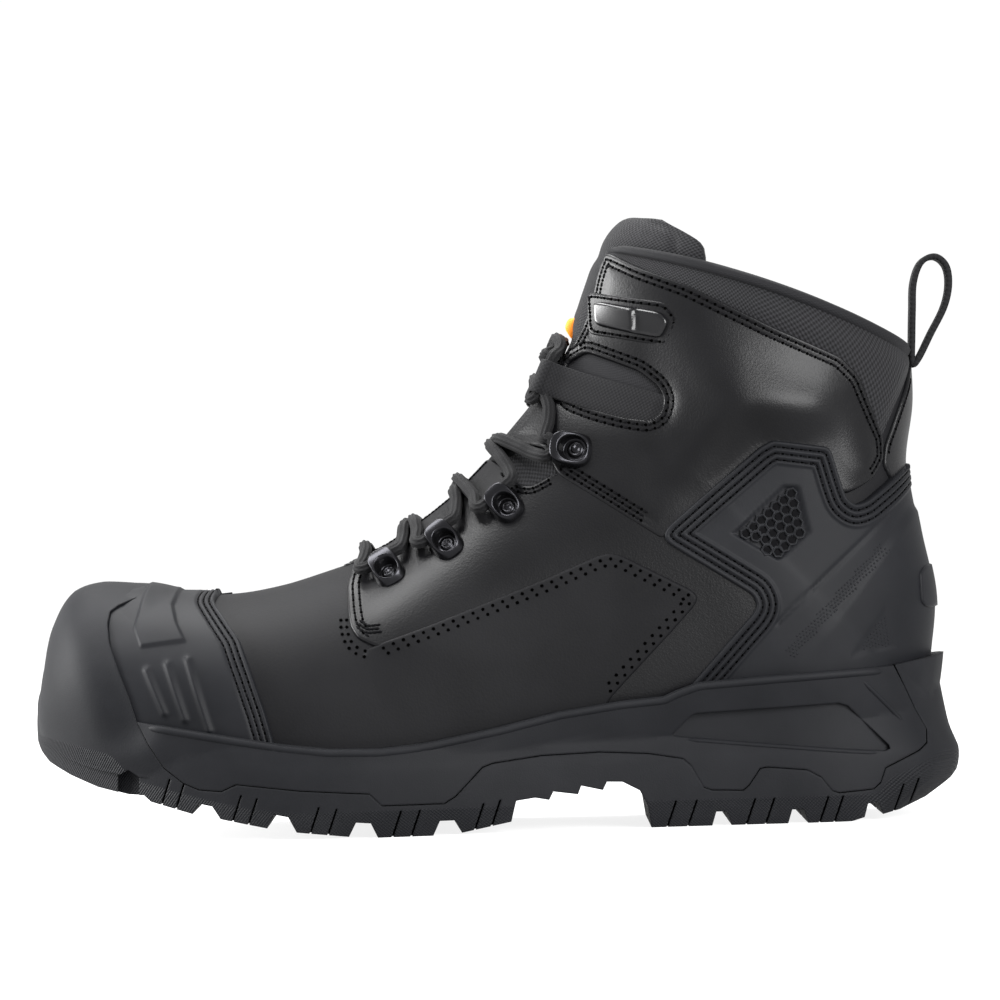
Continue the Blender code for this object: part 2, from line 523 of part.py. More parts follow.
def sides(name, outline, base, thick):
    """The same overlay on the outer and the inner side."""
    return [overlay(name + "_outer", outline, -ACROSS, MID_Y, base, thick),
            overlay(name + "_inner", outline, MID_Y, ACROSS, base, thick)]


def make_overlays():
    """Toe cap, heel counter, eyestays, ankle panels and top lace plates."""
    rim = [(x, z + CLEAR) for x, z in RIM]
    toe = tuple(p for p in rim if -117.0 < p[0] < -74.0)
    cap = (((-117.5, 39.9),) + toe + CAP_EDGE + ((-88.0, HIGH), (-112.7, HIGH))
           + moved(BUMPER_EDGE, SEAM, 0.0)[:0:-1])
    heel = tuple(p for p in rim if p[0] > 67.5)
    counter = COUNTER_EDGE + ((165.0, 119.2), (165.0, 54.4), (151.0, 54.4)) + heel[::-1]
    eyestay = EYESTAY_EDGE + throat_line(PANEL_SEAM - 0.06, THROAT + 0.35, 8)
    ankle = throat_line(PANEL_SEAM + 0.06, 21.6, 9) + ANKLE_EDGE
    made = [overlay("toe_cap", cap, -ACROSS, ACROSS, CLEAR, TOE_CAP_THICK),
            overlay("heel_counter", counter, -ACROSS, ACROSS, CLEAR, COUNTER_THICK)]
    made += sides("eyestay", eyestay, CLEAR, PANEL_THICK)
    made += sides("ankle_panel", ankle, CLEAR, PANEL_THICK)
    made += sides("lace_plate", TOP_PLATE, 2 * CLEAR + PANEL_THICK, PLATE_THICK)
    return [plain(piece) for piece in made]


def place(x, z):
    """Station and level of the skin's point at x, z in side view."""
    s, v = np.meshgrid(np.linspace(7.0, 22.0, 301), np.linspace(WIDEST, 1.0, 241), indexing="ij")
    points = bare(s, v, OUTER)
    best = np.argmin(np.hypot(points[..., 0] - x, points[..., 2] - z))
    return s.flat[best], v.flat[best]


def stand(x, z, side, lift, turn):
    """Frame on the skin at x, z: origin, along the throat, towards the throat, outward; turned by degrees."""
    s, v = place(x, z)
    origin = skin(np.float64(s), np.float64(v), side, np.float64(lift))
    out = normal(np.float64(s), np.float64(v), side)
    along = bare(s + 0.05, v, side) - bare(s - 0.05, v, side)
    along = along - out * np.dot(along, out)
    along /= np.linalg.norm(along)
    inward = np.cross(along, out)
    if inward[1] * side > 0:
        inward = -inward
    c, d = math.cos(math.radians(turn)), math.sin(math.radians(turn))
    return origin, along * c + inward * d, inward * c - along * d, out


def tube(name, path, radius, count):
    """Round bar along a path of points."""
    path = np.asarray(path, float)
    way = np.gradient(path, axis=0)
    way /= np.linalg.norm(way, axis=1, keepdims=True)
    rings = []
    guide = np.array((0.31, 0.17, 0.93))
    for point, ahead in zip(path, way):
        first = guide - ahead * np.dot(guide, ahead)
        first /= np.linalg.norm(first)
        second = np.cross(ahead, first)
        turn = np.arange(count) / count * 2 * math.pi
        rings.append(point + radius * (np.cos(turn)[:, None] * first + np.sin(turn)[:, None] * second))
    faces = strips(len(rings), count, True)
    last = (len(rings) - 1) * count
    faces += [tuple(range(count)), tuple(last + i for i in range(count))]
    return solid(name, np.vstack(rings), faces)


def make_holder(name, x, z, length, tail, turned, side):
    """Tube for the lace along the throat's edge with a riveted tail on the panel."""
    origin, along, inward, out = stand(x, z, side, 2 * CLEAR + PANEL_THICK, turned)

    def spot(u, w, n):
        return origin + along * u + inward * w + out * n

    half = length / 2
    count = len(TUBE_TURNS)
    shape = [(TUBE_SHIFT + r * math.cos(a), TUBE_UP + r * math.sin(a))
             for r in (TUBE_OUT, TUBE_IN) for a in TUBE_TURNS]
    shape += [(-tail, TUBE_UP - TUBE_OUT), (-tail, TUBE_UP + TUBE_OUT * math.sin(TUBE_TURNS[0]))]
    size = len(shape)
    points = [spot(u, w, n) for u in (-half, half) for w, n in shape]
    edge = list(range(1, count)) + [0, size - 1, size - 2]
    hole = list(range(count, 2 * count))
    faces = []
    for loop in (edge, hole):
        faces += [(i, j, j + size, i + size) for i, j in zip(loop, loop[1:] + loop[:1])]
    for base in (0, size):
        faces += [(base + i, base + (i + 1) % count, base + count + (i + 1) % count, base + count + i)
                  for i in range(count)]
        faces.append((base, base + 1, base + size - 2, base + size - 1))
    return solid(name, points, faces)


def lace_ends(row, side):
    """Lower and upper end of the free lace at a holder and the ways it points there."""
    name, x, z, length, _, turned = HOLDERS[row]
    origin, along, inward, out = stand(x, z, side, 2 * CLEAR + PANEL_THICK, turned)
    middle = origin + inward * TUBE_SHIFT + out * TUBE_UP
    if name == "hook":
        front, turn = middle + inward * (TUBE_OUT + LACE_FREE), along * HOOK_HALF
        return front - turn, front + turn, -inward * LACE_STRAIGHT, inward * LACE_STRAIGHT
    reach = along * (length / 2 + LACE_FREE)
    return middle - reach, middle + reach, along * LACE_STRAIGHT, along * LACE_STRAIGHT


def hug(points):
    """Points of a lace pushed out until they clear the leather and, over the throat, the tongue."""
    s, v = np.meshgrid(np.linspace(7.0, 16.0, 181), np.linspace(0.6, 1.0, 61), indexing="ij")
    shells = {side: (bare(s, v, side), normal(s, v, side)) for side in (OUTER, INNER)}
    clear = []
    for point in points:
        middle = 5.0 if point[0] < 0.0 else 3.0
        grid, out = shells[OUTER if point[1] < middle else INNER]
        best = np.argmin(np.linalg.norm(grid - point, axis=-1))
        spot, way = grid.reshape(-1, 3)[best], out.reshape(-1, 3)[best]
        edge = float(throat_v(s.flat[best]))
        need = LACE_EDGE + (LACE_RIDGE - LACE_EDGE) * float(smooth(edge, 1.0, v.flat[best]))
        clear.append(spot + way * max(need, float(np.dot(point - spot, way))))
    return clear


def strand(start, way, end, arrive):
    """Lace from one holder over the throat to a holder on the other side."""
    share = np.linspace(0.0, 1.0, LACE_HUGS + 2)[1:-1, None]
    span = (start + way) * (1.0 - share) + (end - arrive) * share
    points = [start, start + way] + hug(span) + [end - arrive, end]
    line = spline(points, np.linspace(0.0, len(points) - 1.0, LACE_RINGS))
    return tube("strand", line, LACE_RADIUS, LACE_SIDES)


def make_lace():
    """Bottom bar and crossings of the lace, each crossing one joined piece."""
    low = [lace_ends(0, side) for side in (OUTER, INNER)]
    bar = strand(low[0][0], -low[0][2], low[1][0], low[1][2])
    bar.name = "lace_bar"
    made = [bar]
    top_s, top_v = place(*LACE_TOP)
    for row in range(len(HOLDERS)):
        pieces = []
        for side in (OUTER, INNER):
            _, start, _, way = lace_ends(row, side)
            if row + 1 < len(HOLDERS):
                end, _, arrive, _ = lace_ends(row + 1, -side)
            else:
                end = skin(np.float64(top_s), np.float64(top_v), -side, np.float64(LACE_EDGE))
                arrive = np.array((1.6, -1.0 * side, 0.0))
            pieces.append(strand(start, way, end, arrive))
        cross = combine(pieces[0], pieces[1], "UNION")
        cross.name = "lace_cross_%d" % (row + 1)
        made.append(cross)
    return made


def make_pull_loop():
    """Webbing loop at the back of the collar."""
    line = np.array(PULL)
    way = np.roll(line, -1, 0) - np.roll(line, 1, 0)
    out = np.stack((way[:, 1], -way[:, 0]), 1)
    out /= np.linalg.norm(out, axis=1, keepdims=True)
    rings = []
    for point, off in zip(line, out * PULL_THICK / 2):
        outer, inner = point + off, point - off
        rings.append([(p[0], MID_Y + y, p[1]) for p, y in ((outer, -PULL_WIDE / 2), (outer, PULL_WIDE / 2),
                                                         (inner, PULL_WIDE / 2), (inner, -PULL_WIDE / 2))])
    rings.append(rings[0])
    return solid("pull_loop", np.vstack(rings), strips(len(rings), 4, True))


def paint(thing, color, roughness, metallic=0.0):
    """One plain material for a piece."""
    material = bpy.data.materials.new(thing.name)
    material.use_nodes = True
    shader = material.node_tree.nodes["Principled BSDF"]
    shader.inputs["Base Color"].default_value = (*color, 1.0)
    shader.inputs["Roughness"].default_value = roughness
    shader.inputs["Metallic"].default_value = metallic
    thing.data.materials.clear()
    thing.data.materials.append(material)


RUBBER = (0.022, 0.023, 0.026)
FOAM = (0.026, 0.027, 0.030)
LEATHER = (0.016, 0.016, 0.018)
CLOTH = (0.020, 0.020, 0.022)
STEEL = (0.06, 0.06, 0.065)


def main():
    """Builds every piece."""
    for thing in list(bpy.data.objects):
        bpy.data.objects.remove(thing)
    paint(make_outsole(), RUBBER, 0.75)
    paint(make_midsole(), FOAM, 0.7)
    paint(make_upper(), LEATHER, 0.6)
    paint(make_insole(), CLOTH, 0.9)
    paint(make_tongue(), CLOTH, 0.8)
    for piece in make_overlays():
        hard = piece.name.startswith("lace_plate")
        soft = piece.name.startswith(("eyestay", "ankle"))
        paint(piece, STEEL if hard else LEATHER if soft else RUBBER, 0.4 if hard else 0.5 if soft else 0.7)
    for side, ending in ((OUTER, "_outer"), (INNER, "_inner")):
        for name, x, z, length, tail, turned in HOLDERS:
            cloth = name == "webbing"
            holder = make_holder(name + ending, x, z, length, tail, turned, side)
            paint(holder, CLOTH if cloth else STEEL, 0.8 if cloth else 0.35, 0.0 if cloth else 0.6)
    for piece in make_lace():
        paint(piece, CLOTH, 0.85)
    paint(make_pull_loop(), CLOTH, 0.85)


main()
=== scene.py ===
"""Looks of a laced safety boot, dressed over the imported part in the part's own frame.

The shoe's tables are in millimetres and meshes in metres. The toe points to -X and the outer side of
the foot to -Y.
"""

import logging
import math
from dataclasses import dataclass, field
from enum import Enum
from typing import Any, Callable, Optional, Sequence, Union

import bmesh
import bpy
import numpy as np
from mathutils.bvhtree import BVHTree
from mathutils import Matrix, Vector
from mathutils.geometry import delaunay_2d_cdt
from mathutils.kdtree import KDTree


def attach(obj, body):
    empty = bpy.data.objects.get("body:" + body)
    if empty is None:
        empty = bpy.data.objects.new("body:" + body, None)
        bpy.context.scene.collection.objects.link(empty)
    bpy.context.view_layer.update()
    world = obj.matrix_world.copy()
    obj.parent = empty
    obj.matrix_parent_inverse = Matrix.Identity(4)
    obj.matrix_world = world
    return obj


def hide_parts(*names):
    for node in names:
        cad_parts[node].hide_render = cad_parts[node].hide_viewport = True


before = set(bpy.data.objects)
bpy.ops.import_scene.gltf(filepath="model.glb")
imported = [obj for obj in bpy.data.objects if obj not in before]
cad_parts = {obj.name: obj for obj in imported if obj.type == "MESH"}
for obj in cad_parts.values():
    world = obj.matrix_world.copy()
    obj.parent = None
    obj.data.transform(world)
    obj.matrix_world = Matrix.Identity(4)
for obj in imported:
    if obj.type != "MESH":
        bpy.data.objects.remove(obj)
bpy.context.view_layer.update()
LOG = logging.getLogger("boot")

MM = 0.001
# Middle of the heel across the boot, the upper's wall, what the collar's padding adds, and a free gap.
MID_Y, WALL, COLLAR_PAD, CLEAR = 2.0, 2.4, 5.0, 0.3
# Stations of the foot's end at the heel, the collar's edge and the throat's start, and the widest level.
FOOT_END, COLLAR, THROAT, WIDEST = 16.0, 22.0, 7.3, 0.4
# Millimetres of cloth from the foot edge up to the ridge.
CLOTH_RISE = 130.0
# Metres under which points of a seam, or of one body, are merged, and below which an edge has no size.
WELD, EQUAL, NO_SIZE = 2e-5, 2e-6, 1e-6

Line = Sequence[tuple[float, float]]
Points = np.ndarray
Profile = Callable[["Spots"], np.ndarray]

# One row per section of the last, from the toe tip over the heel and up the back to the collar.
# foot and top are the ends of the section line in side view, mid the middle line across the foot,
# low and max the half widths at the foot edge and at the widest, at the height of the widest,
# dome the roundness above it, bow the lift of the line between its ends, gap the throat's half width.
COLUMNS = ("foot_x", "foot_z", "top_x", "top_z", "mid", "low_out", "low_in", "max_out", "max_in",
           "at", "dome", "bow", "gap")
SECTIONS = np.array((
    (-147.0, 36.5, -147.0, 36.5, 8.5, 0.0, 0.0, 0.0, 0.0, 0.30, 2.0, 0.0, 0.0),
    (-145.5, 35.4, -146.6, 46.5, 8.3, 14.2, 13.8, 14.6, 14.2, 0.30, 2.1, 0.0, 0.0),
    (-141.0, 32.6, -145.2, 57.0, 8.0, 25.0, 22.0, 25.8, 22.8, 0.30, 2.3, 0.0, 0.0),
    (-133.0, 28.8, -141.5, 69.0, 7.5, 35.5, 29.5, 36.6, 30.5, 0.30, 2.6, 0.0, 0.0),
    (-122.0, 25.4, -134.0, 77.6, 7.0, 43.5, 36.0, 44.8, 37.3, 0.30, 2.8, 0.0, 0.0),
    (-108.0, 23.0, -120.0, 80.6, 6.5, 49.0, 40.5, 50.4, 42.0, 0.28, 2.7, 0.0, 0.0),
    (-85.0, 21.3, -95.0, 79.7, 6.0, 53.0, 43.5, 54.6, 45.2, 0.26, 2.5, 0.0, 0.0),
    (-60.0, 20.3, -68.0, 83.4, 5.5, 54.5, 43.5, 56.2, 45.4, 0.25, 2.3, 0.0, 4.0),
    (-35.0, 20.5, -42.0, 92.0, 5.0, 52.5, 40.5, 54.4, 42.8, 0.25, 2.2, 0.0, 11.0),
    (-8.0, 23.4, -18.6, 108.2, 4.5, 48.0, 34.5, 50.4, 38.2, 0.26, 2.1, 0.0, 14.0),
    (20.0, 28.6, -4.0, 123.3, 4.0, 42.5, 30.5, 46.4, 36.2, 0.29, 2.1, 0.0, 15.5),
    (52.0, 31.2, 5.2, 136.7, 3.5, 38.5, 30.0, 44.4, 36.8, 0.33, 2.1, 0.0, 17.0),
    (85.0, 33.0, 12.0, 147.3, 3.0, 36.5, 33.0, 43.8, 39.2, 0.38, 2.1, 0.0, 18.0),
    (112.0, 34.0, 16.8, 155.3, 2.5, 33.5, 32.0, 43.4, 40.6, 0.42, 2.1, 0.0, 18.5),
    (130.0, 34.6, 19.8, 161.0, 2.2, 24.5, 24.3, 42.8, 41.4, 0.45, 2.1, 0.0, 19.0),
    (139.0, 35.8, 21.8, 165.2, 2.0, 12.0, 12.0, 42.4, 41.6, 0.48, 2.1, 0.0, 19.5),
    (142.0, 39.5, 23.2, 168.7, 2.0, 0.0, 0.0, 42.0, 41.6, 0.50, 2.1, 0.0, 20.0),
    (144.6, 55.0, 25.6, 173.6, 2.0, 0.0, 0.0, 41.6, 41.4, 0.50, 2.1, 0.0, 20.5),
    (145.4, 74.0, 27.4, 178.5, 2.0, 0.0, 0.0, 41.6, 41.6, 0.50, 2.1, 0.5, 21.0),
    (141.6, 95.0, 29.1, 183.0, 2.0, 0.0, 0.0, 42.2, 42.2, 0.50, 2.1, 1.0, 21.5),
    (138.6, 117.0, 30.6, 187.0, 2.0, 0.0, 0.0, 43.2, 43.2, 0.50, 2.1, 2.0, 22.0),
    (141.4, 138.0, 32.2, 190.0, 2.0, 0.0, 0.0, 44.2, 44.2, 0.50, 2.1, 3.2, 22.5),
    (141.0, 156.5, 34.0, 192.6, 2.0, 0.0, 0.0, 44.2, 44.2, 0.50, 2.1, 4.4, 23.0),
    (140.5, 165.0, 37.5, 198.5, 2.0, 0.0, 0.0, 43.6, 43.6, 0.50, 2.1, 4.4, 23.0),
    (140.0, 172.0, 42.6, 205.4, 2.0, 0.0, 0.0, 42.6, 42.6, 0.50, 2.1, 3.0, 23.0),
))


class Side(Enum):
    """The two sides of the foot; the value is the sign of y."""

    OUTER = -1.0
    INNER = 1.0

    @property
    def ending(self) -> str:
        """Ending of the names of this side's pieces."""
        return "_" + self.name.lower()

    @property
    def other(self) -> "Side":
        """The opposite side."""
        return Side(-self.value)


class Seam(Enum):
    """The middle line that a panel runs across, if any; the value is the level there."""

    NONE = -1.0
    BACK = 0.0
    RIDGE = 1.0


# Points of a seam for each station, the largest step between neighbours on an edge, in millimetres,
# and how near the back seam, as a level, no loose points lie.
SEAM_POINTS = {Seam.BACK: 36.0, Seam.RIDGE: 18.0}
EDGE_STEP = 6.0
SEAM_FREE = 0.004

def ease(low: float, high: float, value: Any) -> np.ndarray:
    """Smooth step of value between low and high.

    Args:
        low: value where the step is 0.
        high: value where the step is 1.
        value: number or array.

    Returns:
        Step from 0 to 1.
    """
    share = np.clip((np.asarray(value, float) - low) / (high - low), 0.0, 1.0)
    return share * share * (3.0 - 2.0 * share)


def spline(table: Any, place: Any) -> np.ndarray:
    """Rows of a table read at fractional row numbers, as a smooth curve through the rows.

    Args:
        table: rows of numbers.
        place: fractional row numbers.

    Returns:
        One row for each place.
    """
    table = np.asarray(table, float)
    place = np.clip(np.asarray(place, float), 0.0, len(table) - 1.0)
    row = np.minimum(place.astype(int), len(table) - 2)
    part = (place - row)[..., None]
    a, b = table[np.maximum(row - 1, 0)], table[row]
    c, d = table[row + 1], table[np.minimum(row + 2, len(table) - 1)]
    return 0.5 * (2 * b + (c - a) * part + (2 * a - 5 * b + 4 * c - d) * part ** 2
                  + (3 * b - a - 3 * c + d) * part ** 3)


def unit(vectors: np.ndarray) -> np.ndarray:
    """Vectors scaled to length 1."""
    return vectors / np.maximum(np.linalg.norm(vectors, axis=-1, keepdims=True), 1e-9)


def travel(points: np.ndarray) -> np.ndarray:
    """Distance along a line of points up to each of them."""
    return np.concatenate(((0.0,), np.cumsum(np.linalg.norm(np.diff(points, axis=0), axis=1))))


def along_line(points: np.ndarray, reach: np.ndarray, at: np.ndarray) -> np.ndarray:
    """Rows of a line read between its points, at places counted as reach counts them."""
    return np.column_stack([np.interp(at, reach, column) for column in points.T])


def to_line(points: np.ndarray, line: Line) -> np.ndarray:
    """Distance of side-view points to a line of straight pieces.

    Args:
        points: x, z rows.
        line: corners of the line.

    Returns:
        Distance of each point.
    """
    corners = np.asarray(line, float)
    best = np.full(len(points), 1e9)
    for a, b in zip(corners[:-1], corners[1:]):
        part = np.clip((points - a) @ (b - a) / max(float((b - a) @ (b - a)), 1e-9), 0.0, 1.0)
        best = np.minimum(best, np.linalg.norm(points - a - part[:, None] * (b - a), axis=1))
    return best


def within(points: np.ndarray, polygon: np.ndarray) -> np.ndarray:
    """Which points lie inside a closed polygon.

    Args:
        points: rows of two numbers.
        polygon: corners, two numbers each.

    Returns:
        True for each point inside.
    """
    inside = np.zeros(len(points), bool)
    x, y = points[:, 0], points[:, 1]
    for (ax, ay), (bx, by) in zip(polygon, np.roll(polygon, -1, 0)):
        if ay == by:
            continue
        cross = (ay > y) != (by > y)
        inside ^= cross & (x < (bx - ax) * (y - ay) / (by - ay) + ax)
    return inside


@dataclass
class Last:
    """The foot form under the boot: a skin read at station s, level v and side."""

    probe: tuple[int, int] = (481, 161)
    tree: Optional[KDTree] = None
    grid: Optional[np.ndarray] = None

    def section(self, s: Any) -> dict[str, np.ndarray]:
        """Named columns of the section table at station s."""
        values = spline(SECTIONS, s)
        return {name: values[..., i] for i, name in enumerate(COLUMNS)}

    def bare(self, s: Any, v: Any, side: Side) -> Points:
        """Point of the skin.

        Args:
            s: station along the boot.
            v: level from foot edge (0) to ridge (1).
            side: side of the foot.

        Returns:
            Points in millimetres.
        """
        s, v = np.broadcast_arrays(np.asarray(s, float), np.asarray(v, float))
        q = self.section(s)
        outer = side is Side.OUTER
        low = np.maximum(q["low_out"] if outer else q["low_in"], 0.0)
        wide = np.maximum(q["max_out"] if outer else q["max_in"], 1e-6)
        under = np.cos(np.clip(v / WIDEST, 0.0, 1.0) * math.pi / 2)
        over = np.sin(np.clip((v - WIDEST) / (1.0 - WIDEST), 0.0, 1.0) * math.pi / 2)
        height = np.where(v < WIDEST, q["at"] * (1.0 - under), q["at"] + (1.0 - q["at"]) * over)
        shut = 1.0 - np.minimum(low / wide, 1.0) ** 2
        width = wide * np.where(v < WIDEST, np.sqrt(np.maximum(1.0 - shut * under ** 2.2, 0.0)),
                                np.sqrt(np.maximum(1.0 - over ** q["dome"], 0.0)))
        dx, dz = q["top_x"] - q["foot_x"], q["top_z"] - q["foot_z"]
        length = np.maximum(np.hypot(dx, dz), 1e-6)
        bow = 4.0 * q["bow"] * height * (1.0 - height)
        x = q["foot_x"] + dx * height + bow * dz / length
        z = q["foot_z"] + dz * height - bow * dx / length
        return np.stack((x, q["mid"] + side.value * width, z), -1)

    def normal(self, s: Any, v: Any, side: Side) -> Points:
        """Outward direction of the skin at station s and level v.

        Args:
            s: station along the boot.
            v: level from foot edge (0) to ridge (1).
            side: side of the foot.

        Returns:
            Unit vectors.
        """
        s, v = np.broadcast_arrays(np.asarray(s, float), np.asarray(v, float))
        near, up = np.clip(s, 0.15, COLLAR + 1.9), np.clip(v, 0.03, 1.0)
        along = self.bare(near + 0.02, up, side) - self.bare(near - 0.02, up, side)
        across = self.bare(near, up, side) - self.bare(near, up - 0.02, side)
        out = unit(side.value * np.cross(across, along))
        line = self.bare(near + 0.02, v, side) - self.bare(near - 0.02, v, side)
        turn = np.where(v > 0.5, 1.0, -1.0)
        flat = unit(np.stack((-line[..., 2] * turn, np.zeros_like(turn), line[..., 0] * turn), -1))
        middle = (v > 0.999) | ((v < 1e-6) & (s >= FOOT_END))
        out = np.where(middle[..., None], flat, out)
        return np.where((s < 1e-6)[..., None], np.array((-1.0, 0.0, 0.0)), out)

    def skin(self, s: Any, v: Any, side: Side, lift: Any) -> Points:
        """Point of the skin moved outward by lift."""
        return self.bare(s, v, side) + self.normal(s, v, side) * np.asarray(lift, float)[..., None]

    def throat(self, s: Any) -> np.ndarray:
        """Level of the throat's edge, 1 where the upper is closed over the foot.

        Args:
            s: station along the boot.

        Returns:
            Level at each station.
        """
        q = self.section(np.asarray(s, float))
        half = q["gap"] * np.sqrt(ease(THROAT, THROAT + 0.9, s))
        share = np.minimum(half / np.maximum(q["max_out"], 1.0), 0.95)
        over = (1.0 - share ** 2) ** (1.0 / q["dome"])
        edge = WIDEST + (1.0 - WIDEST) * np.arcsin(np.clip(over, 0.0, 1.0)) / (math.pi / 2)
        return np.where(np.asarray(s) <= THROAT, 1.0, edge)

    def wall(self, s: Any, v: Any) -> np.ndarray:
        """Thickness of the upper, more at the padded collar."""
        return WALL + COLLAR_PAD * ease(19.0, 20.6, s) * (1.0 - ease(0.42, 0.56, v))

    def place(self, line: Any) -> np.ndarray:
        """Stations and levels of side-view points.

        Args:
            line: x, z rows.

        Returns:
            Rows of station and level, held on the skin where a point lies outside it.
        """
        target = np.asarray(line, float)
        if self.tree is None:
            s, v = np.meshgrid(np.linspace(0.0, COLLAR + 2.0, self.probe[0]),
                               np.linspace(0.0, 1.0, self.probe[1]), indexing="ij")
            self.grid = np.column_stack((s.ravel(), v.ravel()))
            spots = self.bare(self.grid[:, 0], self.grid[:, 1], Side.OUTER)
            self.tree = KDTree(len(spots))
            for i, (x, _, z) in enumerate(spots):
                self.tree.insert((x, 0.0, z), i)
            self.tree.balance()
        found = np.array([self.grid[self.tree.find((x, 0.0, z))[1]] for x, z in target])
        step = 1e-3
        for _ in range(5):
            here = self.bare(found[:, 0], found[:, 1], Side.OUTER)[:, ::2]
            miss = target - here
            by_s = (self.bare(found[:, 0] + step, found[:, 1], Side.OUTER)[:, ::2] - here) / step
            up = np.where(found[:, 1] > 0.5, -step, step)
            by_v = (self.bare(found[:, 0], found[:, 1] + up, Side.OUTER)[:, ::2] - here) / up[:, None]
            jacobian = np.stack((by_s, by_v), -1)
            square = np.einsum("nij,nik->njk", jacobian, jacobian)
            damping = 1e-3 * np.trace(square, axis1=1, axis2=2)
            square += damping[:, None, None] * np.eye(2)
            move = np.linalg.solve(square, np.einsum("nij,ni->nj", jacobian, miss)[..., None])[..., 0]
            found = found + np.clip(move, -0.3, 0.3)
            found[:, 0] = np.clip(found[:, 0], 0.0, COLLAR + 2.0)
            found[:, 1] = np.clip(found[:, 1], 0.0, 1.0)
        return found

    def throat_line(self, first: float, last: float, count: int) -> list[tuple[float, float]]:
        """Throat's edge in side view between two stations, a little inside the leather."""
        s = np.linspace(first, last, count)
        return [(p[0] + 0.35, p[2] - 0.2) for p in self.bare(s, self.throat(s), Side.OUTER)]


LAST = Last()


class Value:
    """A shader socket that takes part in sums."""

    def __init__(self, graph: "Graph", socket: bpy.types.NodeSocket) -> None:
        """Wraps a socket of a graph."""
        self.graph, self.socket = graph, socket

    def math(self, operation: str, *others: Union["Value", float]) -> "Value":
        """Result of a Math node with this value first."""
        return self.graph.math(operation, self, *others)

    def __add__(self, other: Union["Value", float]) -> "Value":
        """Sum."""
        return self.math("ADD", other)

    __radd__ = __add__

    def __mul__(self, other: Union["Value", float]) -> "Value":
        """Product."""
        return self.math("MULTIPLY", other)

    __rmul__ = __mul__

    def __sub__(self, other: Union["Value", float]) -> "Value":
        """Difference."""
        return self.math("SUBTRACT", other)

    def __rsub__(self, other: float) -> "Value":
        """A number less this value."""
        return self.graph.math("SUBTRACT", other, self)

    def __abs__(self) -> "Value":
        """Size without sign."""
        return self.math("ABSOLUTE")

    def sine(self) -> "Value":
        """Sine of the value."""
        return self.math("SINE")

    def step(self, low: float, high: float) -> "Value":
        """Smooth step from 0 at low to 1 at high."""
        node = self.graph.node("ShaderNodeMapRange", {"interpolation_type": "SMOOTHSTEP"},
                               {"Value": self, "From Min": low, "From Max": high})
        return Value(self.graph, node.outputs["Result"])


def feed(tree: bpy.types.NodeTree, socket: bpy.types.NodeSocket, value: Any) -> None:
    """Sets a socket's value or links it.

    Args:
        tree: the socket's node tree.
        socket: the socket.
        value: plain value, Value or socket.
    """
    given = value.socket if isinstance(value, Value) else value
    if isinstance(given, bpy.types.NodeSocket):
        tree.links.new(given, socket)
    else:
        socket.default_value = given


def add_node(tree: bpy.types.NodeTree, kind: str, settings: dict[str, Any],
             values: dict[Any, Any]) -> bpy.types.Node:
    """A node with its settings and the values or links of its sockets.

    Args:
        tree: the node tree.
        kind: type name of the node.
        settings: properties, set first.
        values: socket name or number to value, Value or socket.

    Returns:
        The node.
    """
    made = tree.nodes.new(kind)
    for name, setting in settings.items():
        setattr(made, name, setting)
    for name, value in values.items():
        feed(tree, made.inputs[name], value)
    return made


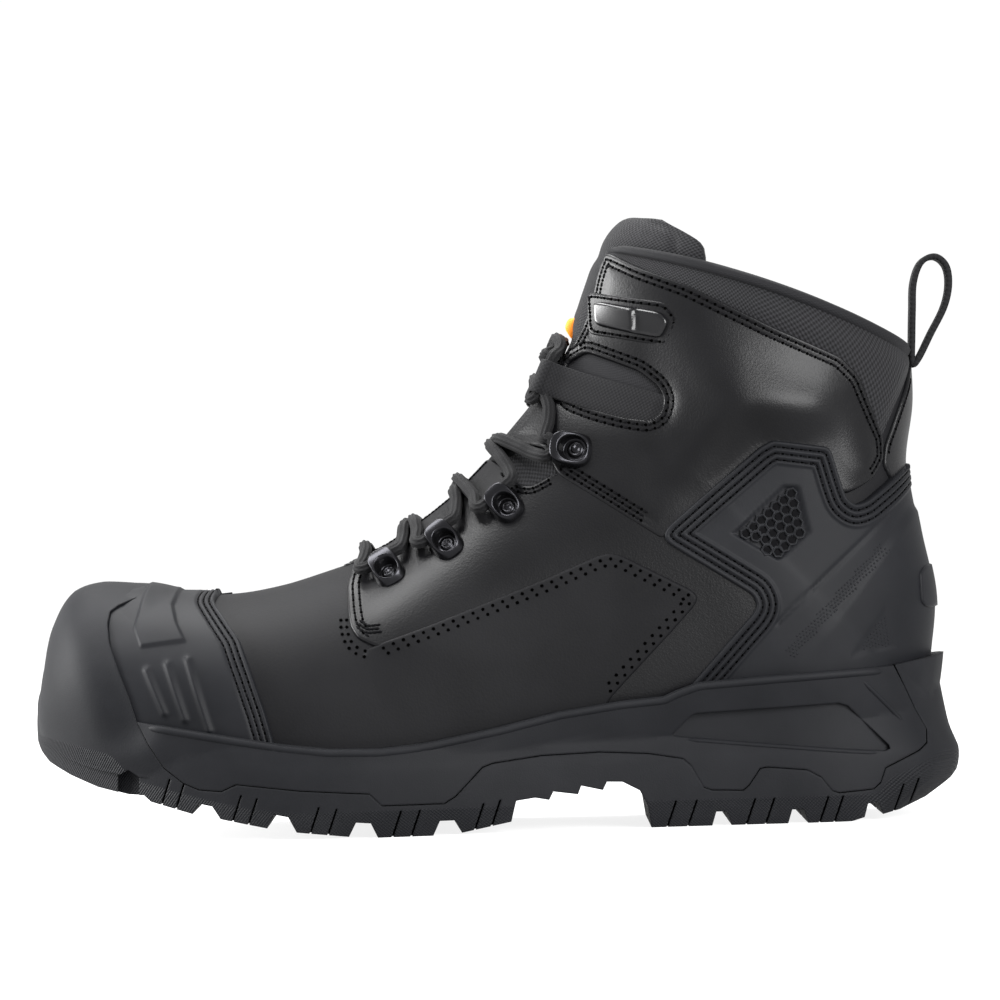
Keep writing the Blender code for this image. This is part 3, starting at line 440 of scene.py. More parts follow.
class Graph:
    """A material's nodes, written as expressions."""

    def __init__(self, name: str) -> None:
        """Starts a material with a Principled shader."""
        self.material = bpy.data.materials.new(name)
        self.material.use_nodes = True
        self.tree = self.material.node_tree
        self.shader = self.tree.nodes["Principled BSDF"]

    def node(self, kind: str, settings: dict[str, Any], values: dict[Any, Any]) -> bpy.types.Node:
        """A node of this material, made by add_node."""
        return add_node(self.tree, kind, settings, values)

    def math(self, operation: str, *values: Union[Value, float]) -> Value:
        """Result of a Math node."""
        node = self.node("ShaderNodeMath", {"operation": operation}, dict(enumerate(values)))
        return Value(self, node.outputs[0])

    def axes(self) -> tuple[Value, Value, Value]:
        """Place on the boot as x, y and z in millimetres.

        Returns:
            The three values.
        """
        where = self.node("ShaderNodeTexCoord", {}, {}).outputs["Object"]
        split = self.node("ShaderNodeSeparateXYZ", {}, {0: where})
        return tuple(Value(self, split.outputs[i]) * 1000.0 for i in range(3))

    def cloth(self) -> tuple[Value, Value]:
        """Place on the piece's own cloth map, in millimetres along it and across it.

        Returns:
            The two values.
        """
        where = self.node("ShaderNodeUVMap", {"uv_map": "cloth"}, {}).outputs["UV"]
        split = self.node("ShaderNodeSeparateXYZ", {}, {0: where})
        return Value(self, split.outputs[0]) * 1000.0, Value(self, split.outputs[1]) * 1000.0

    def noise(self, size: float, detail: float = 2.0, rough: float = 0.5) -> Value:
        """Soft noise of a size in millimetres, from about 0 to 1.

        Args:
            size: millimetres.
            detail: number of finer layers.
            rough: share of the finer layers.

        Returns:
            The noise.
        """
        where = self.node("ShaderNodeTexCoord", {}, {}).outputs["Object"]
        node = self.node("ShaderNodeTexNoise", {},
                         {"Vector": where, "Scale": 1000.0 / size, "Detail": detail, "Roughness": rough})
        return Value(self, node.outputs[0])

    def cells(self, size: float) -> Value:
        """Distance in a pattern of round cells of a size in millimetres.

        Args:
            size: millimetres.

        Returns:
            The distance.
        """
        where = self.node("ShaderNodeTexCoord", {}, {}).outputs["Object"]
        node = self.node("ShaderNodeTexVoronoi", {"feature": "F1"},
                         {"Vector": where, "Scale": 1000.0 / size})
        return Value(self, node.outputs["Distance"])

    def shade(self, share: Value, low: Sequence[float], high: Sequence[float]) -> bpy.types.NodeSocket:
        """Colour between low and high by share."""
        node = self.node("ShaderNodeMix", {"data_type": "RGBA"},
                         {0: share, 6: (*low, 1.0), 7: (*high, 1.0)})
        return node.outputs[2]

    def bump(self, height: Value, depth: float, round_edge: float = 0.0) -> None:
        """Links a relief to the shader.

        Args:
            height: relief from 0 to 1.
            depth: its depth in millimetres.
            round_edge: radius in millimetres by which sharp edges look rounded.
        """
        values = {"Height": height, "Distance": depth * MM, "Strength": 1.0}
        if round_edge > 0.0:
            edge = self.node("ShaderNodeBevel", {"samples": 4}, {"Radius": round_edge * MM})
            values["Normal"] = edge.outputs[0]
        node = self.node("ShaderNodeBump", {}, values)
        feed(self.tree, self.shader.inputs["Normal"], node.outputs[0])

    def coat(self, color: Any, roughness: Any, metallic: float = 0.0, specular: float = 0.5,
             clear: float = 0.0) -> bpy.types.Material:
        """Sets the shader's main values and gives the material.

        Args:
            color: colour or socket.
            roughness: number or Value.
            metallic: share of metal.
            specular: strength of the gloss.
            clear: weight of a clear coat.

        Returns:
            The material.
        """
        for name, value in (("Base Color", color), ("Roughness", roughness), ("Metallic", metallic),
                            ("Specular IOR Level", specular), ("Coat Weight", clear)):
            if isinstance(value, tuple):
                value = (*value, 1.0)
            feed(self.tree, self.shader.inputs[name], value)
        self.shader.inputs["Coat Roughness"].default_value = 0.25
        return self.material


@dataclass(frozen=True)
class Leather:
    """Grained leather."""

    name: str
    color: tuple[float, float, float]
    worn: tuple[float, float, float]
    roughness: float
    grain: float
    depth: float
    specular: float
    clear: float = 0.0

    def material(self) -> bpy.types.Material:
        """Pebbled grain, soft clouds in colour and gloss.

        Returns:
            The material.
        """
        g = Graph(self.name)
        pebble = g.cells(self.grain)
        fine = g.noise(self.grain * 0.4, 3.0)
        cloud = g.noise(34.0, 3.0)
        g.bump(pebble * 0.6 + fine * 0.5, self.depth)
        color = g.shade(cloud.step(0.3, 0.75), self.color, self.worn)
        gloss = cloud * 0.12 + fine * 0.1 + (self.roughness - 0.11)
        return g.coat(color, gloss, 0.0, self.specular, self.clear)


@dataclass(frozen=True)
class Moulded:
    """Moulded rubber or foam with a fine skin."""

    name: str
    color: tuple[float, float, float]
    worn: tuple[float, float, float]
    roughness: float
    speckle: float = 0.5
    depth: float = 0.04
    edge: float = 0.0

    def material(self) -> bpy.types.Material:
        """Sandy skin with faint clouds.

        Returns:
            The material.
        """
        g = Graph(self.name)
        sand = g.noise(self.speckle, 2.0, 0.6)
        cloud = g.noise(26.0, 4.0, 0.6)
        g.bump(sand, self.depth, self.edge)
        color = g.shade(cloud.step(0.3, 0.8), self.color, self.worn)
        return g.coat(color, sand * 0.1 + cloud * 0.1 + (self.roughness - 0.1), specular=0.075)


@dataclass(frozen=True)
class Tread:
    """Outsole rubber with cross-hatched lug sides."""

    name: str
    color: tuple[float, float, float]
    worn: tuple[float, float, float]
    roughness: float
    hatch: float = 1.15
    lug: float = 8.6
    spring: float = 17.5
    edge: float = 0.9

    def material(self) -> bpy.types.Material:
        """Hatching below the lugs' tops, sand above.

        Returns:
            The material.
        """
        g = Graph(self.name)
        x, y, z = g.axes()
        along = x + abs(y - 4.0) * 0.6
        first = ((along - z) * (2.0 * math.pi / self.hatch)).sine()
        second = ((along + z) * (2.0 * math.pi / self.hatch)).sine()
        rise = (x * -1.0).step(60.0, 170.0) * (self.spring + 4.0) + x.step(124.0, 152.0) * 9.0
        more = (x * -1.0).step(118.0, 128.0) * 6.0 + x.step(124.0, 130.0) * 4.0
        mask = 1.0 - (z - rise - more).step(self.lug - 0.6, self.lug + 0.6)
        sand = g.noise(0.5, 2.0, 0.6)
        relief = (first * 0.7 + second * 0.3) * mask * 0.5 + sand * 0.2
        g.bump(relief, 0.3, self.edge)
        cloud = g.noise(22.0, 4.0, 0.6)
        color = g.shade(cloud.step(0.3, 0.8), self.color, self.worn)
        return g.coat(color, cloud * 0.14 + (self.roughness - 0.07), specular=0.075)


@dataclass(frozen=True)
class Weave:
    """Woven cloth on the piece's cloth map."""

    name: str
    color: tuple[float, float, float]
    # Colour of the raised knots: painted light.
    light: tuple[float, float, float]
    pitch: tuple[float, float]
    depth: float
    roughness: float = 0.75

    def material(self) -> bpy.types.Material:
        """Over-and-under weave with a little fuzz; its colour follows the relief, with painted shade in the
        low parts and painted light on the raised knots.

        Returns:
            The material.
        """
        g = Graph(self.name)
        u, v = g.cloth()
        knot = (u * (math.pi / self.pitch[0])).sine() * (v * (math.pi / self.pitch[1])).sine()
        fuzz = g.noise(0.35, 2.0)
        relief = knot * 0.5 + 0.5
        g.bump(relief * 0.8 + fuzz * 0.3, self.depth)
        # The colour follows the relief: painted shade in the weave's low parts, painted light on its raised
        # knots.
        color = g.shade(relief, self.color, self.light)
        material = g.coat(color, self.roughness, specular=0.08)
        g.shader.inputs["Sheen Weight"].default_value = 0.02
        return material


@dataclass(frozen=True)
class Plain:
    """One even finish, such as metal, thread or the painted shade of a hole."""

    name: str
    color: tuple[float, float, float]
    roughness: float
    metallic: float = 0.0
    clear: float = 0.0
    grain: float = 0.0
    specular: float = 0.2

    def material(self) -> bpy.types.Material:
        """Even colour, with a fine relief where the grain is more than nothing.

        Returns:
            The material.
        """
        g = Graph(self.name)
        if self.grain > 0.0:
            g.bump(g.noise(0.6, 3.0), self.grain)
        return g.coat(self.color, self.roughness, self.metallic, self.specular, self.clear)


FINISHES = {
    "vamp": Leather("matte_leather", (0.0028, 0.0028, 0.0032), (0.0042, 0.0042, 0.0047), 0.6, 0.9, 0.05,
                    0.055),
    "smooth": Leather("smooth_leather", (0.001, 0.001, 0.0013), (0.0019, 0.0019, 0.0023), 0.4, 0.7, 0.06,
                      0.11, 0.02),
    "overlay": Moulded("overlay_rubber", (0.0032, 0.0034, 0.0042), (0.0048, 0.005, 0.006), 0.56, 0.45, 0.03),
    "midsole": Moulded("midsole_foam", (0.0032, 0.0034, 0.0042), (0.0048, 0.005, 0.006), 0.6, 0.5, 0.04, 0.9),
    "outsole": Tread("outsole_rubber", (0.0032, 0.0034, 0.0042), (0.0055, 0.0057, 0.0067), 0.62),
    # Second colour of each weave: painted light on its raised knots.
    "mesh": Weave("collar_mesh", (0.0012, 0.0012, 0.0014), (0.012, 0.012, 0.0132), (0.85, 0.85), 0.3),
    "lining": Weave("lining_cloth", (0.0025, 0.0025, 0.003), (0.006, 0.006, 0.0068), (0.6, 0.6), 0.08),
    "webbing": Weave("webbing_cloth", (0.0016, 0.0016, 0.0019), (0.005, 0.005, 0.0056), (0.8, 0.8), 0.12),
    "lace": Weave("lace_braid", (0.0012, 0.0012, 0.0014), (0.0036, 0.0036, 0.004), (0.55, 0.58), 0.06),
    "metal": Plain("gunmetal", (0.013, 0.013, 0.0145), 0.26, 0.9, 0.0, 0.01),
    "plate": Plain("moulded_plate", (0.0022, 0.0022, 0.0026), 0.24, 0.0, 0.1, 0.01),
    "thread": Plain("thread", (0.0012, 0.0012, 0.0015), 0.8, 0.0, 0.0, 0.02, 0.04),
    # Nearly black and without gloss: painted shade for the holes.
    "hole": Plain("painted_hole_shade", (0.0003, 0.0003, 0.0003), 1.0, specular=0.0),
    "label": Plain("label_stripe", (0.75, 0.22, 0.02), 0.6),
}
PAINTS: dict[str, bpy.types.Material] = {}


def paint(finish: str) -> bpy.types.Material:
    """Material of a finish, made once.

    Args:
        finish: name of the finish.

    Returns:
        The material.
    """
    if finish not in PAINTS:
        PAINTS[finish] = FINISHES[finish].material()
    return PAINTS[finish]


def new_object(name: str, data: Any) -> bpy.types.Object:
    """A new object in the scene, with a mesh, lamp or camera."""
    thing = bpy.data.objects.new(name, data)
    bpy.context.scene.collection.objects.link(thing)
    return thing


def clean(mesh: bpy.types.Mesh, merge: float, drop: bool, turn: bool) -> None:
    """Merges a mesh's equal points.

    Args:
        mesh: the mesh.
        merge: metres under which points are one.
        drop: True to take out edges and faces of no size.
        turn: True to turn the faces outward.
    """
    bm = bmesh.new()
    bm.from_mesh(mesh)
    bmesh.ops.remove_doubles(bm, verts=bm.verts, dist=merge)
    if drop:
        bmesh.ops.dissolve_degenerate(bm, edges=bm.edges, dist=NO_SIZE)
    if turn:
        bmesh.ops.recalc_face_normals(bm, faces=bm.faces)
    bm.to_mesh(mesh)
    bm.free()


def make(name: str, points: Any, faces: Any, finishes: Sequence[str], picks: Optional[Sequence[int]] = None,
         cloth: Any = None, weld: bool = False) -> bpy.types.Object:
    """A smooth mesh object from points in millimetres.

    Args:
        name: name of the piece.
        points: points in millimetres.
        faces: corners of each face.
        finishes: names of its finishes.
        picks: number of the finish of each face.
        cloth: place of each point on the cloth map, in millimetres.
        weld: True to merge points that coincide.

    Returns:
        The object.
    """
    mesh = bpy.data.meshes.new(name)
    mesh.from_pydata((np.asarray(points, float) * MM).tolist(), [], [tuple(map(int, f)) for f in faces])
    for finish in finishes:
        mesh.materials.append(paint(finish))
    if picks is not None:
        mesh.polygons.foreach_set("material_index", np.asarray(picks, np.int32))
    if cloth is not None:
        layer = mesh.uv_layers.new(name="cloth")
        corner = np.zeros(len(mesh.loops), np.int32)
        mesh.loops.foreach_get("vertex_index", corner)
        layer.data.foreach_set("uv", (np.asarray(cloth, float)[corner] * MM).astype(np.float32).ravel())
    if weld:
        clean(mesh, WELD, True, False)
    mesh.shade_smooth()
    mesh.update()
    return new_object(name, mesh)


def dress(thing: bpy.types.Object, slot: str, *nodes: str) -> bpy.types.Object:
    """Hands a finished piece to the frame and reports it.

    Args:
        thing: the piece.
        slot: the record's material slot; not used.
        nodes: CAD nodes that it stands for.

    Returns:
        The piece.
    """
    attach(thing, "root")
    if nodes:
        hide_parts(*nodes)
    LOG.info("%s: %d faces", thing.name, len(thing.data.polygons))
    return thing


def quads(rows: int, width: int, closed: bool) -> list[tuple[int, int, int, int]]:
    """Faces of a grid of points.

    Args:
        rows: number of rings.
        width: points in each ring.
        closed: True if each ring closes.

    Returns:
        Corners of the faces.
    """
    span = width if closed else width - 1
    pairs = [(i, (i + 1) % width) for i in range(span)]
    return [(r * width + i, r * width + j, (r + 1) * width + j, (r + 1) * width + i)
            for r in range(rows - 1) for i, j in pairs]


@dataclass
class Spots:
    """Places on a panel as its profile sees them."""

    depth: np.ndarray
    side_view: np.ndarray
    hole: np.ndarray


@dataclass
class Row:
    """A row of places along a panel, for stitches or holes."""

    points: np.ndarray
    along: np.ndarray
    out: np.ndarray


@dataclass
class Panel:
    """A piece laid over the last inside a side-view outline, with a rounded edge."""

    name: str
    finish: str
    outline: Line
    thick: float
    base: float = 0.1
    seam: Seam = Seam.NONE
    edge: tuple[float, float] = (-1.0, 1e9)
    soften: float = 1.3
    round_edge: float = 0.8
    rings: Sequence[float] = ()
    pitch: float = 2.2
    step: float = 0.8
    hole: Line = ()
    profile: Optional[Profile] = None
    edge_line: dict[Side, np.ndarray] = field(default_factory=dict)
    hole_line: dict[Side, np.ndarray] = field(default_factory=dict)

    def soft_path(self, corners: Line, closed: bool) -> tuple[np.ndarray, np.ndarray]:
        """Outline with soft corners.

        Args:
            corners: side-view corners.
            closed: True for a closed outline.

        Returns:
            Side-view points and the fractional number of the corner each lies at.
        """
        line = np.asarray(corners, float)
        if closed:
            line = np.vstack((line, line[:1]))
        reach = travel(line)
        count = max(int(reach[-1] / self.step), 8)
        at = np.linspace(0.0, reach[-1], count, endpoint=not closed)
        number = np.interp(at, reach, np.arange(len(line)))
        points = along_line(line, reach, at)
        half = int(math.ceil(3.0 * self.soften / self.step))
        weight = np.exp(-0.5 * (np.arange(-half, half + 1) * self.step / max(self.soften, 0.01)) ** 2)
        weight /= weight.sum()
        if closed:
            padded = np.vstack((points[-half:], points, points[:half]))
        else:
            before, after = points[half:0:-1], points[-2:-half - 2:-1]
            padded = np.vstack((2 * points[0] - before, points, 2 * points[-1] - after))
        smooth = np.column_stack([np.convolve(padded[:, i], weight, "valid") for i in range(2)])
        return self.refine(smooth, number)

    def refine(self, points: np.ndarray, number: np.ndarray) -> tuple[np.ndarray, np.ndarray]:
        """Adds points where an outline turns sharply.

        Args:
            points: side-view points.
            number: fractional corner number of each.

        Returns:
            The longer points and numbers.
        """
        ahead = np.roll(points, -1, 0) - points
        angle = np.unwrap(np.arctan2(ahead[:, 1], ahead[:, 0]))
        turn = np.abs(np.diff(angle, append=angle[-1]))
        new_points, new_number = [], []
        for i in range(len(points)):
            new_points.append(points[i])
            new_number.append(number[i])
            if i + 1 == len(points):
                break
            extra = min(int(max(turn[i], turn[i - 1]) / math.radians(9.0)), 5)
            for k in range(1, extra + 1):
                share = k / (extra + 1)
                new_points.append(spline(points, np.float64(i + share)))
                new_number.append(number[i] + (number[i + 1] - number[i]) * share)
        return np.array(new_points), np.array(new_number)

    def frame_at(self, spots: np.ndarray, side: Side) -> tuple[np.ndarray, np.ndarray]:
        """Steps of the skin along station and level.

        Args:
            spots: stations and levels.
            side: side of the foot.

        Returns:
            Millimetres for one station and for one level, at each place.
        """
        s, v = np.clip(spots[:, 0], 0.02, COLLAR + 1.9), np.clip(spots[:, 1], 0.004, 0.996)
        by_s = (LAST.bare(s + 0.01, v, side) - LAST.bare(s - 0.01, v, side)) / 0.02
        by_v = (LAST.bare(s, v + 0.003, side) - LAST.bare(s, v - 0.003, side)) / 0.006
        return by_s, by_v

    def inset(self, ring: np.ndarray, side: Side, distance: float, closed: bool) -> np.ndarray:
        """An outline moved inward over the skin.

        Args:
            ring: stations and levels, anticlockwise.
            side: side of the foot.
            distance: millimetres.
            closed: True for a closed outline.

        Returns:
            Stations and levels of the moved points.
        """
        moved = ring.copy()
        steps = max(1, int(math.ceil(distance / 2.5)))
        for _ in range(steps):
            by_s, by_v = self.frame_at(moved, side)
            way = np.roll(ring, -1, 0) - np.roll(ring, 1, 0)
            if not closed:
                way[0], way[-1] = ring[1] - ring[0], ring[-1] - ring[-2]
            a, b, c = ((by_s * by_s).sum(1), (by_s * by_v).sum(1), (by_v * by_v).sum(1))
            left = np.stack((-way[:, 1], way[:, 0]), 1)
            area = np.maximum(a * c - b * b, 1e-9)
            inward = np.stack((c * left[:, 0] - b * left[:, 1], a * left[:, 1] - b * left[:, 0]), 1)
            inward = inward / area[:, None]
            size = np.sqrt(np.maximum((inward * left).sum(1), 1e-12))
            moved = moved + inward / size[:, None] * distance / steps
        return moved

    def settle(self, ring: np.ndarray, moved: np.ndarray, side: Side, distance: float,
               edge: np.ndarray) -> np.ndarray:
        """Moved points at the full distance from an edge, without those that a corner crowds out.

        Args:
            ring: stations and levels before the move.
            moved: the same after it.
            side: side of the foot.
            distance: millimetres.
            edge: points of the edge.

        Returns:
            Stations and levels.
        """
        for _ in range(2):
            gap = self.reach(LAST.bare(moved[:, 0], moved[:, 1], side), edge)
            share = np.clip(distance / np.maximum(gap, 1e-3), 0.6, 1.18)
            moved = ring + (moved - ring) * share[:, None]
            moved[:, 1] = np.clip(moved[:, 1], 0.0, 1.0)
        gap = self.reach(LAST.bare(moved[:, 0], moved[:, 1], side), edge)
        return moved[gap > 0.95 * distance - 0.02]

    def offset(self, ring: np.ndarray, part: np.ndarray, side: Side, distance: float, closed: bool,
               edge: np.ndarray) -> np.ndarray:
        """Dense points at a distance inside a part of an outline.

        Args:
            ring: stations and levels of the outline.
            part: which of them count.
            side: side of the foot.
            distance: millimetres.
            closed: True for a closed outline.
            edge: the edge's points that the distance is measured from.

        Returns:
            Stations and levels.
        """
        both = np.hstack((ring, self.inset(ring, side, distance, closed), part[:, None]))
        if closed:
            both = np.vstack((both, both[:1]))
        at = np.arange(0.0, len(both) - 1.0 + 1e-9, 0.25)
        dense = along_line(both, np.arange(len(both)), at)
        dense = dense[dense[:, 4] > 0.99]
        return self.settle(dense[:, :2], dense[:, 2:4], side, distance, edge)

    def thin(self, line: np.ndarray, side: Side) -> np.ndarray:
        """A row of points without those that stand closer than about half the pitch.

        Args:
            line: stations and levels.
            side: side of the foot.

        Returns:
            Stations and levels that are kept.
        """
        bare, kept = LAST.bare(line[:, 0], line[:, 1], side), []
        for i, spot in enumerate(bare):
            if not kept or np.linalg.norm(spot - bare[kept[-1]]) > 0.55 * self.pitch:
                kept.append(i)
        return line[kept]

    def parallel(self, ring: np.ndarray, part: np.ndarray, side: Side, distance: float, closed: bool,
                 edge: np.ndarray) -> np.ndarray:
        """Mesh points at a distance inside an outline: matched to it at the rounded edge, thinned further in.

        Args:
            ring: stations and levels of the outline.
            part: which of them count.
            side: side of the foot.
            distance: millimetres.
            closed: True for a closed outline.
            edge: points of the edge.

        Returns:
            Stations and levels.
        """
        if distance <= 1.6 * self.round_edge + 0.01:
            moved = self.inset(ring, side, distance, closed)
            return self.settle(ring[part], moved[part], side, distance, edge)
        return self.thin(self.offset(ring, part, side, distance, closed, edge), side)

    def plane(self, places: np.ndarray, side: Side, scale: np.ndarray) -> np.ndarray:
        """Places spread out on a plane for the triangles, near true size round the heel.

        Args:
            places: stations and levels.
            side: side of the foot.
            scale: millimetres of a station and of a level.

        Returns:
            Two numbers for each place.
        """
        if self.seam is not Seam.BACK:
            return places * scale
        bare = LAST.bare(places[:, 0], places[:, 1], side)
        return np.column_stack((bare[:, 0] + 0.8 * (40.0 - side.value * bare[:, 1]), bare[:, 2]))

    def loops(self) -> tuple[np.ndarray, np.ndarray, int, Optional[np.ndarray]]:
        """Outline on the skin.

        Returns:
            Stations and levels, anticlockwise, the corner number of each, how many belong to the drawn
            outline before the seam closes it, and the hole's outline or None.
        """
        closed = self.seam is Seam.NONE
        points, number = self.soft_path(self.outline, closed)
        ring = LAST.place(points)
        if not closed:
            ring[0, 1] = ring[-1, 1] = self.seam.value
            span = abs(ring[-1, 0] - ring[0, 0])
            count = max(int(span * SEAM_POINTS[self.seam]), 4)
            back = np.linspace(ring[-1, 0], ring[0, 0], count + 2)[1:-1]
        turn = np.sum(ring[:, 0] * np.roll(ring[:, 1], -1) - np.roll(ring[:, 0], -1) * ring[:, 1])
        if turn < 0.0:
            ring, number = ring[::-1].copy(), number[::-1].copy()
            if not closed:
                back = back[::-1]
        drawn = len(ring)
        if not closed:
            ring = np.vstack((ring, np.column_stack((back, np.full(len(back), self.seam.value)))))
        hole = None
        if len(self.hole):
            hole = LAST.place(self.soft_path(self.hole, True)[0])
            turn = np.sum(hole[:, 0] * np.roll(hole[:, 1], -1) - np.roll(hole[:, 0], -1) * hole[:, 1])
            hole = hole if turn < 0.0 else hole[::-1].copy()
        return ring, number, drawn, hole

    @staticmethod
    def reach(spots: np.ndarray, line: np.ndarray) -> np.ndarray:
        """Distance of points to the nearest of a dense line of points.

        Args:
            spots: points in millimetres.
            line: points of the line.

        Returns:
            Distance of each point.
        """
        tree = KDTree(len(line))
        for i, p in enumerate(line):
            tree.insert(p, i)
        tree.balance()
        out = np.zeros(len(spots))
        for i, p in enumerate(spots):
            _, index, gap = tree.find(p)
            gaps = [gap]
            for j in (index - 1, index + 1):
                if 0 <= j < len(line):
                    a, b = line[index], line[j]
                    way = b - a
                    size = float(way @ way)
                    if 1e-9 < size < EDGE_STEP ** 2:
                        part = min(max(float((p - a) @ way) / size, 0.0), 1.0)
                        gaps.append(float(np.linalg.norm(p - a - part * way)))
            out[i] = min(gaps)
        return out

    def height(self, spots: Spots) -> np.ndarray:
        """Height of the panel's face over its base: a quarter round at the edge, then its own profile.

        Args:
            spots: places on the panel.

        Returns:
            Height at each place.
        """
        near = np.minimum(spots.depth, spots.hole)
        rise = np.sqrt(np.maximum(1.0 - (1.0 - np.minimum(near / self.round_edge, 1.0)) ** 2, 0.0))
        body = self.profile(spots) if self.profile else np.full(near.shape, self.thick)
        return body * rise

    def spots(self, places: np.ndarray, side: Side) -> Spots:
        """Distances and side-view places of stations and levels.

        Args:
            places: stations and levels.
            side: side of the foot.

        Returns:
            The places.
        """
        bare = LAST.bare(places[:, 0], places[:, 1], side)
        hole = self.reach(bare, self.hole_line[side]) if side in self.hole_line else np.full(len(bare), 1e3)
        return Spots(self.reach(bare, self.edge_line[side]), bare[:, ::2], hole)

    def lay(self, places: np.ndarray, side: Side, extra: float = 0.0) -> np.ndarray:
        """Points of the panel's face at stations and levels."""
        lift = self.base + self.height(self.spots(places, side)) + extra
        return LAST.skin(places[:, 0], places[:, 1], side, lift)

    def net(self, ring: np.ndarray, side: Side, scale: np.ndarray, margin: float) -> np.ndarray:
        """Places in a three-way net inside an outline.

        Args:
            ring: stations and levels of the outline.
            side: side of the foot.
            scale: millimetres of a station and of a level.
            margin: millimetres kept free at the edges.

        Returns:
            Stations and levels.
        """
        low, high = ring.min(0) * scale, ring.max(0) * scale
        gx = np.arange(low[0], high[0], self.pitch)
        gy = np.arange(low[1], high[1], self.pitch * 0.866)
        x, y = np.meshgrid(gx, gy)
        x = x + (np.arange(len(gy)) % 2)[:, None] * self.pitch / 2
        fill = np.column_stack((x.ravel(), y.ravel())) / scale
        fill = fill[within(fill * scale, ring * scale)]
        spots = self.spots(fill, side)
        return fill[(spots.depth > margin) & (spots.hole > margin)]

    def cut(self, side: Side) -> tuple[np.ndarray, list[tuple[int, ...]], np.ndarray]:
        """The panel on one side.

        Args:
            side: side of the foot.

        Returns:
            Points, faces and cloth places.
        """
        ring, number, drawn, hole = self.loops()
        real = (number >= self.edge[0]) & (number <= self.edge[1])
        self.edge_line[side] = LAST.bare(ring[:drawn][real][:, 0], ring[:drawn][real][:, 1], side)
        if hole is not None:
            self.hole_line[side] = LAST.bare(hole[:, 0], hole[:, 1], side)
        by_s, by_v = self.frame_at(ring, side)
        scale = np.array((np.median(np.linalg.norm(by_s, axis=1)), np.median(np.linalg.norm(by_v, axis=1))))
        r = self.round_edge
        rings = sorted({0.1 * r, 0.3 * r, 0.6 * r, 1.0 * r, 1.6 * r, *self.rings})
        inner = []
        closed = self.seam is Seam.NONE and bool(real.all())
        for distance in rings:
            inner.append(self.parallel(ring[:drawn], real, side, distance, self.seam is Seam.NONE,
                                       self.edge_line[side]))
            if hole is not None:
                inner.append(self.parallel(hole, np.ones(len(hole), bool), side, distance, True,
                                           self.hole_line[side]))
        inner = np.vstack([*inner, self.net(ring, side, scale, rings[-1] + 0.4 * self.pitch)])
        inner = inner[within(inner * scale, ring * scale)]
        if self.seam is Seam.BACK:
            inner = inner[inner[:, 1] > SEAM_FREE]
        if hole is not None:
            inner = inner[~within(inner * scale, hole * scale)]
        border = ring if hole is None else np.vstack((ring, hole))
        count = len(ring)
        edges = [(i, (i + 1) % count) for i in range(count)]
        if hole is not None:
            edges += [(count + i, count + (i + 1) % len(hole)) for i in range(len(hole))]
        known = np.vstack((border, inner))
        flat = self.plane(known, side, scale)
        spread = delaunay_2d_cdt([Vector(p) for p in flat], edges, [], 1, 1e-6)
        near = [olds[0] if olds else int(np.argmin(np.linalg.norm(flat - np.array(p), axis=1)))
                for p, olds in zip(spread[0], spread[3])]
        places = known[near]
        faces = [tuple(f) for f in spread[2]]
        if hole is not None:
            middle = np.array([np.mean(places[list(f)], axis=0) for f in faces])
            faces = [f for f, lost in zip(faces, within(middle * scale, hole * scale)) if not lost]
        places[:, 1] = np.clip(places[:, 1], 0.0, 1.0)
        points = self.lay(places, side)
        new = {}
        for i, olds in enumerate(spread[3]):
            for old in olds:
                new[old] = i
        walls = [edges[:drawn if closed else drawn - 1], edges[count:]]
        points, faces = self.skirt(points, faces, places, side, walls, new)
        if side is Side.INNER:
            faces = [f[::-1] for f in faces]
        cloth = np.vstack((places * scale, np.zeros((len(points) - len(places), 2))))
        return points, faces, cloth

    def skirt(self, points: np.ndarray, faces: list, places: np.ndarray, side: Side, loops: list,
              new: dict[int, int]) -> tuple[np.ndarray, list]:
        """Adds the edge's wall down into what lies beneath.

        Args:
            points: points of the face.
            faces: its faces.
            places: station and level of each point.
            side: side of the foot.
            loops: edges that get a wall, as pairs of border numbers.
            new: point number of each border number.

        Returns:
            The longer points and faces.
        """
        extra, low = [], {}
        for loop in loops:
            for a, b in loop:
                for i in (new[a], new[b]):
                    if i not in low:
                        low[i] = len(points) + len(extra)
                        extra.append(LAST.skin(places[i, 0], places[i, 1], side, np.float64(self.base - 0.7)))
                faces.append((low[new[a]], low[new[b]], new[b], new[a]))
        return (np.vstack((points, extra)), faces) if extra else (points, faces)

    def build(self, *sides: Side, name: str = "") -> bpy.types.Object:
        """The panel on one side, or on both as one piece.

        Args:
            sides: one side or both.
            name: name of the piece, if it isn't the panel's own.

        Returns:
            The piece.
        """
        points, faces, cloth = [], [], []
        start = 0
        for side in sides:
            p, f, c = self.cut(side)
            points.append(p)
            cloth.append(c)
            faces += [tuple(i + start for i in face) for face in f]
            start += len(p)
        return make(name or self.name, np.vstack(points), faces, (self.finish,), cloth=np.vstack(cloth),
                    weld=len(sides) > 1)

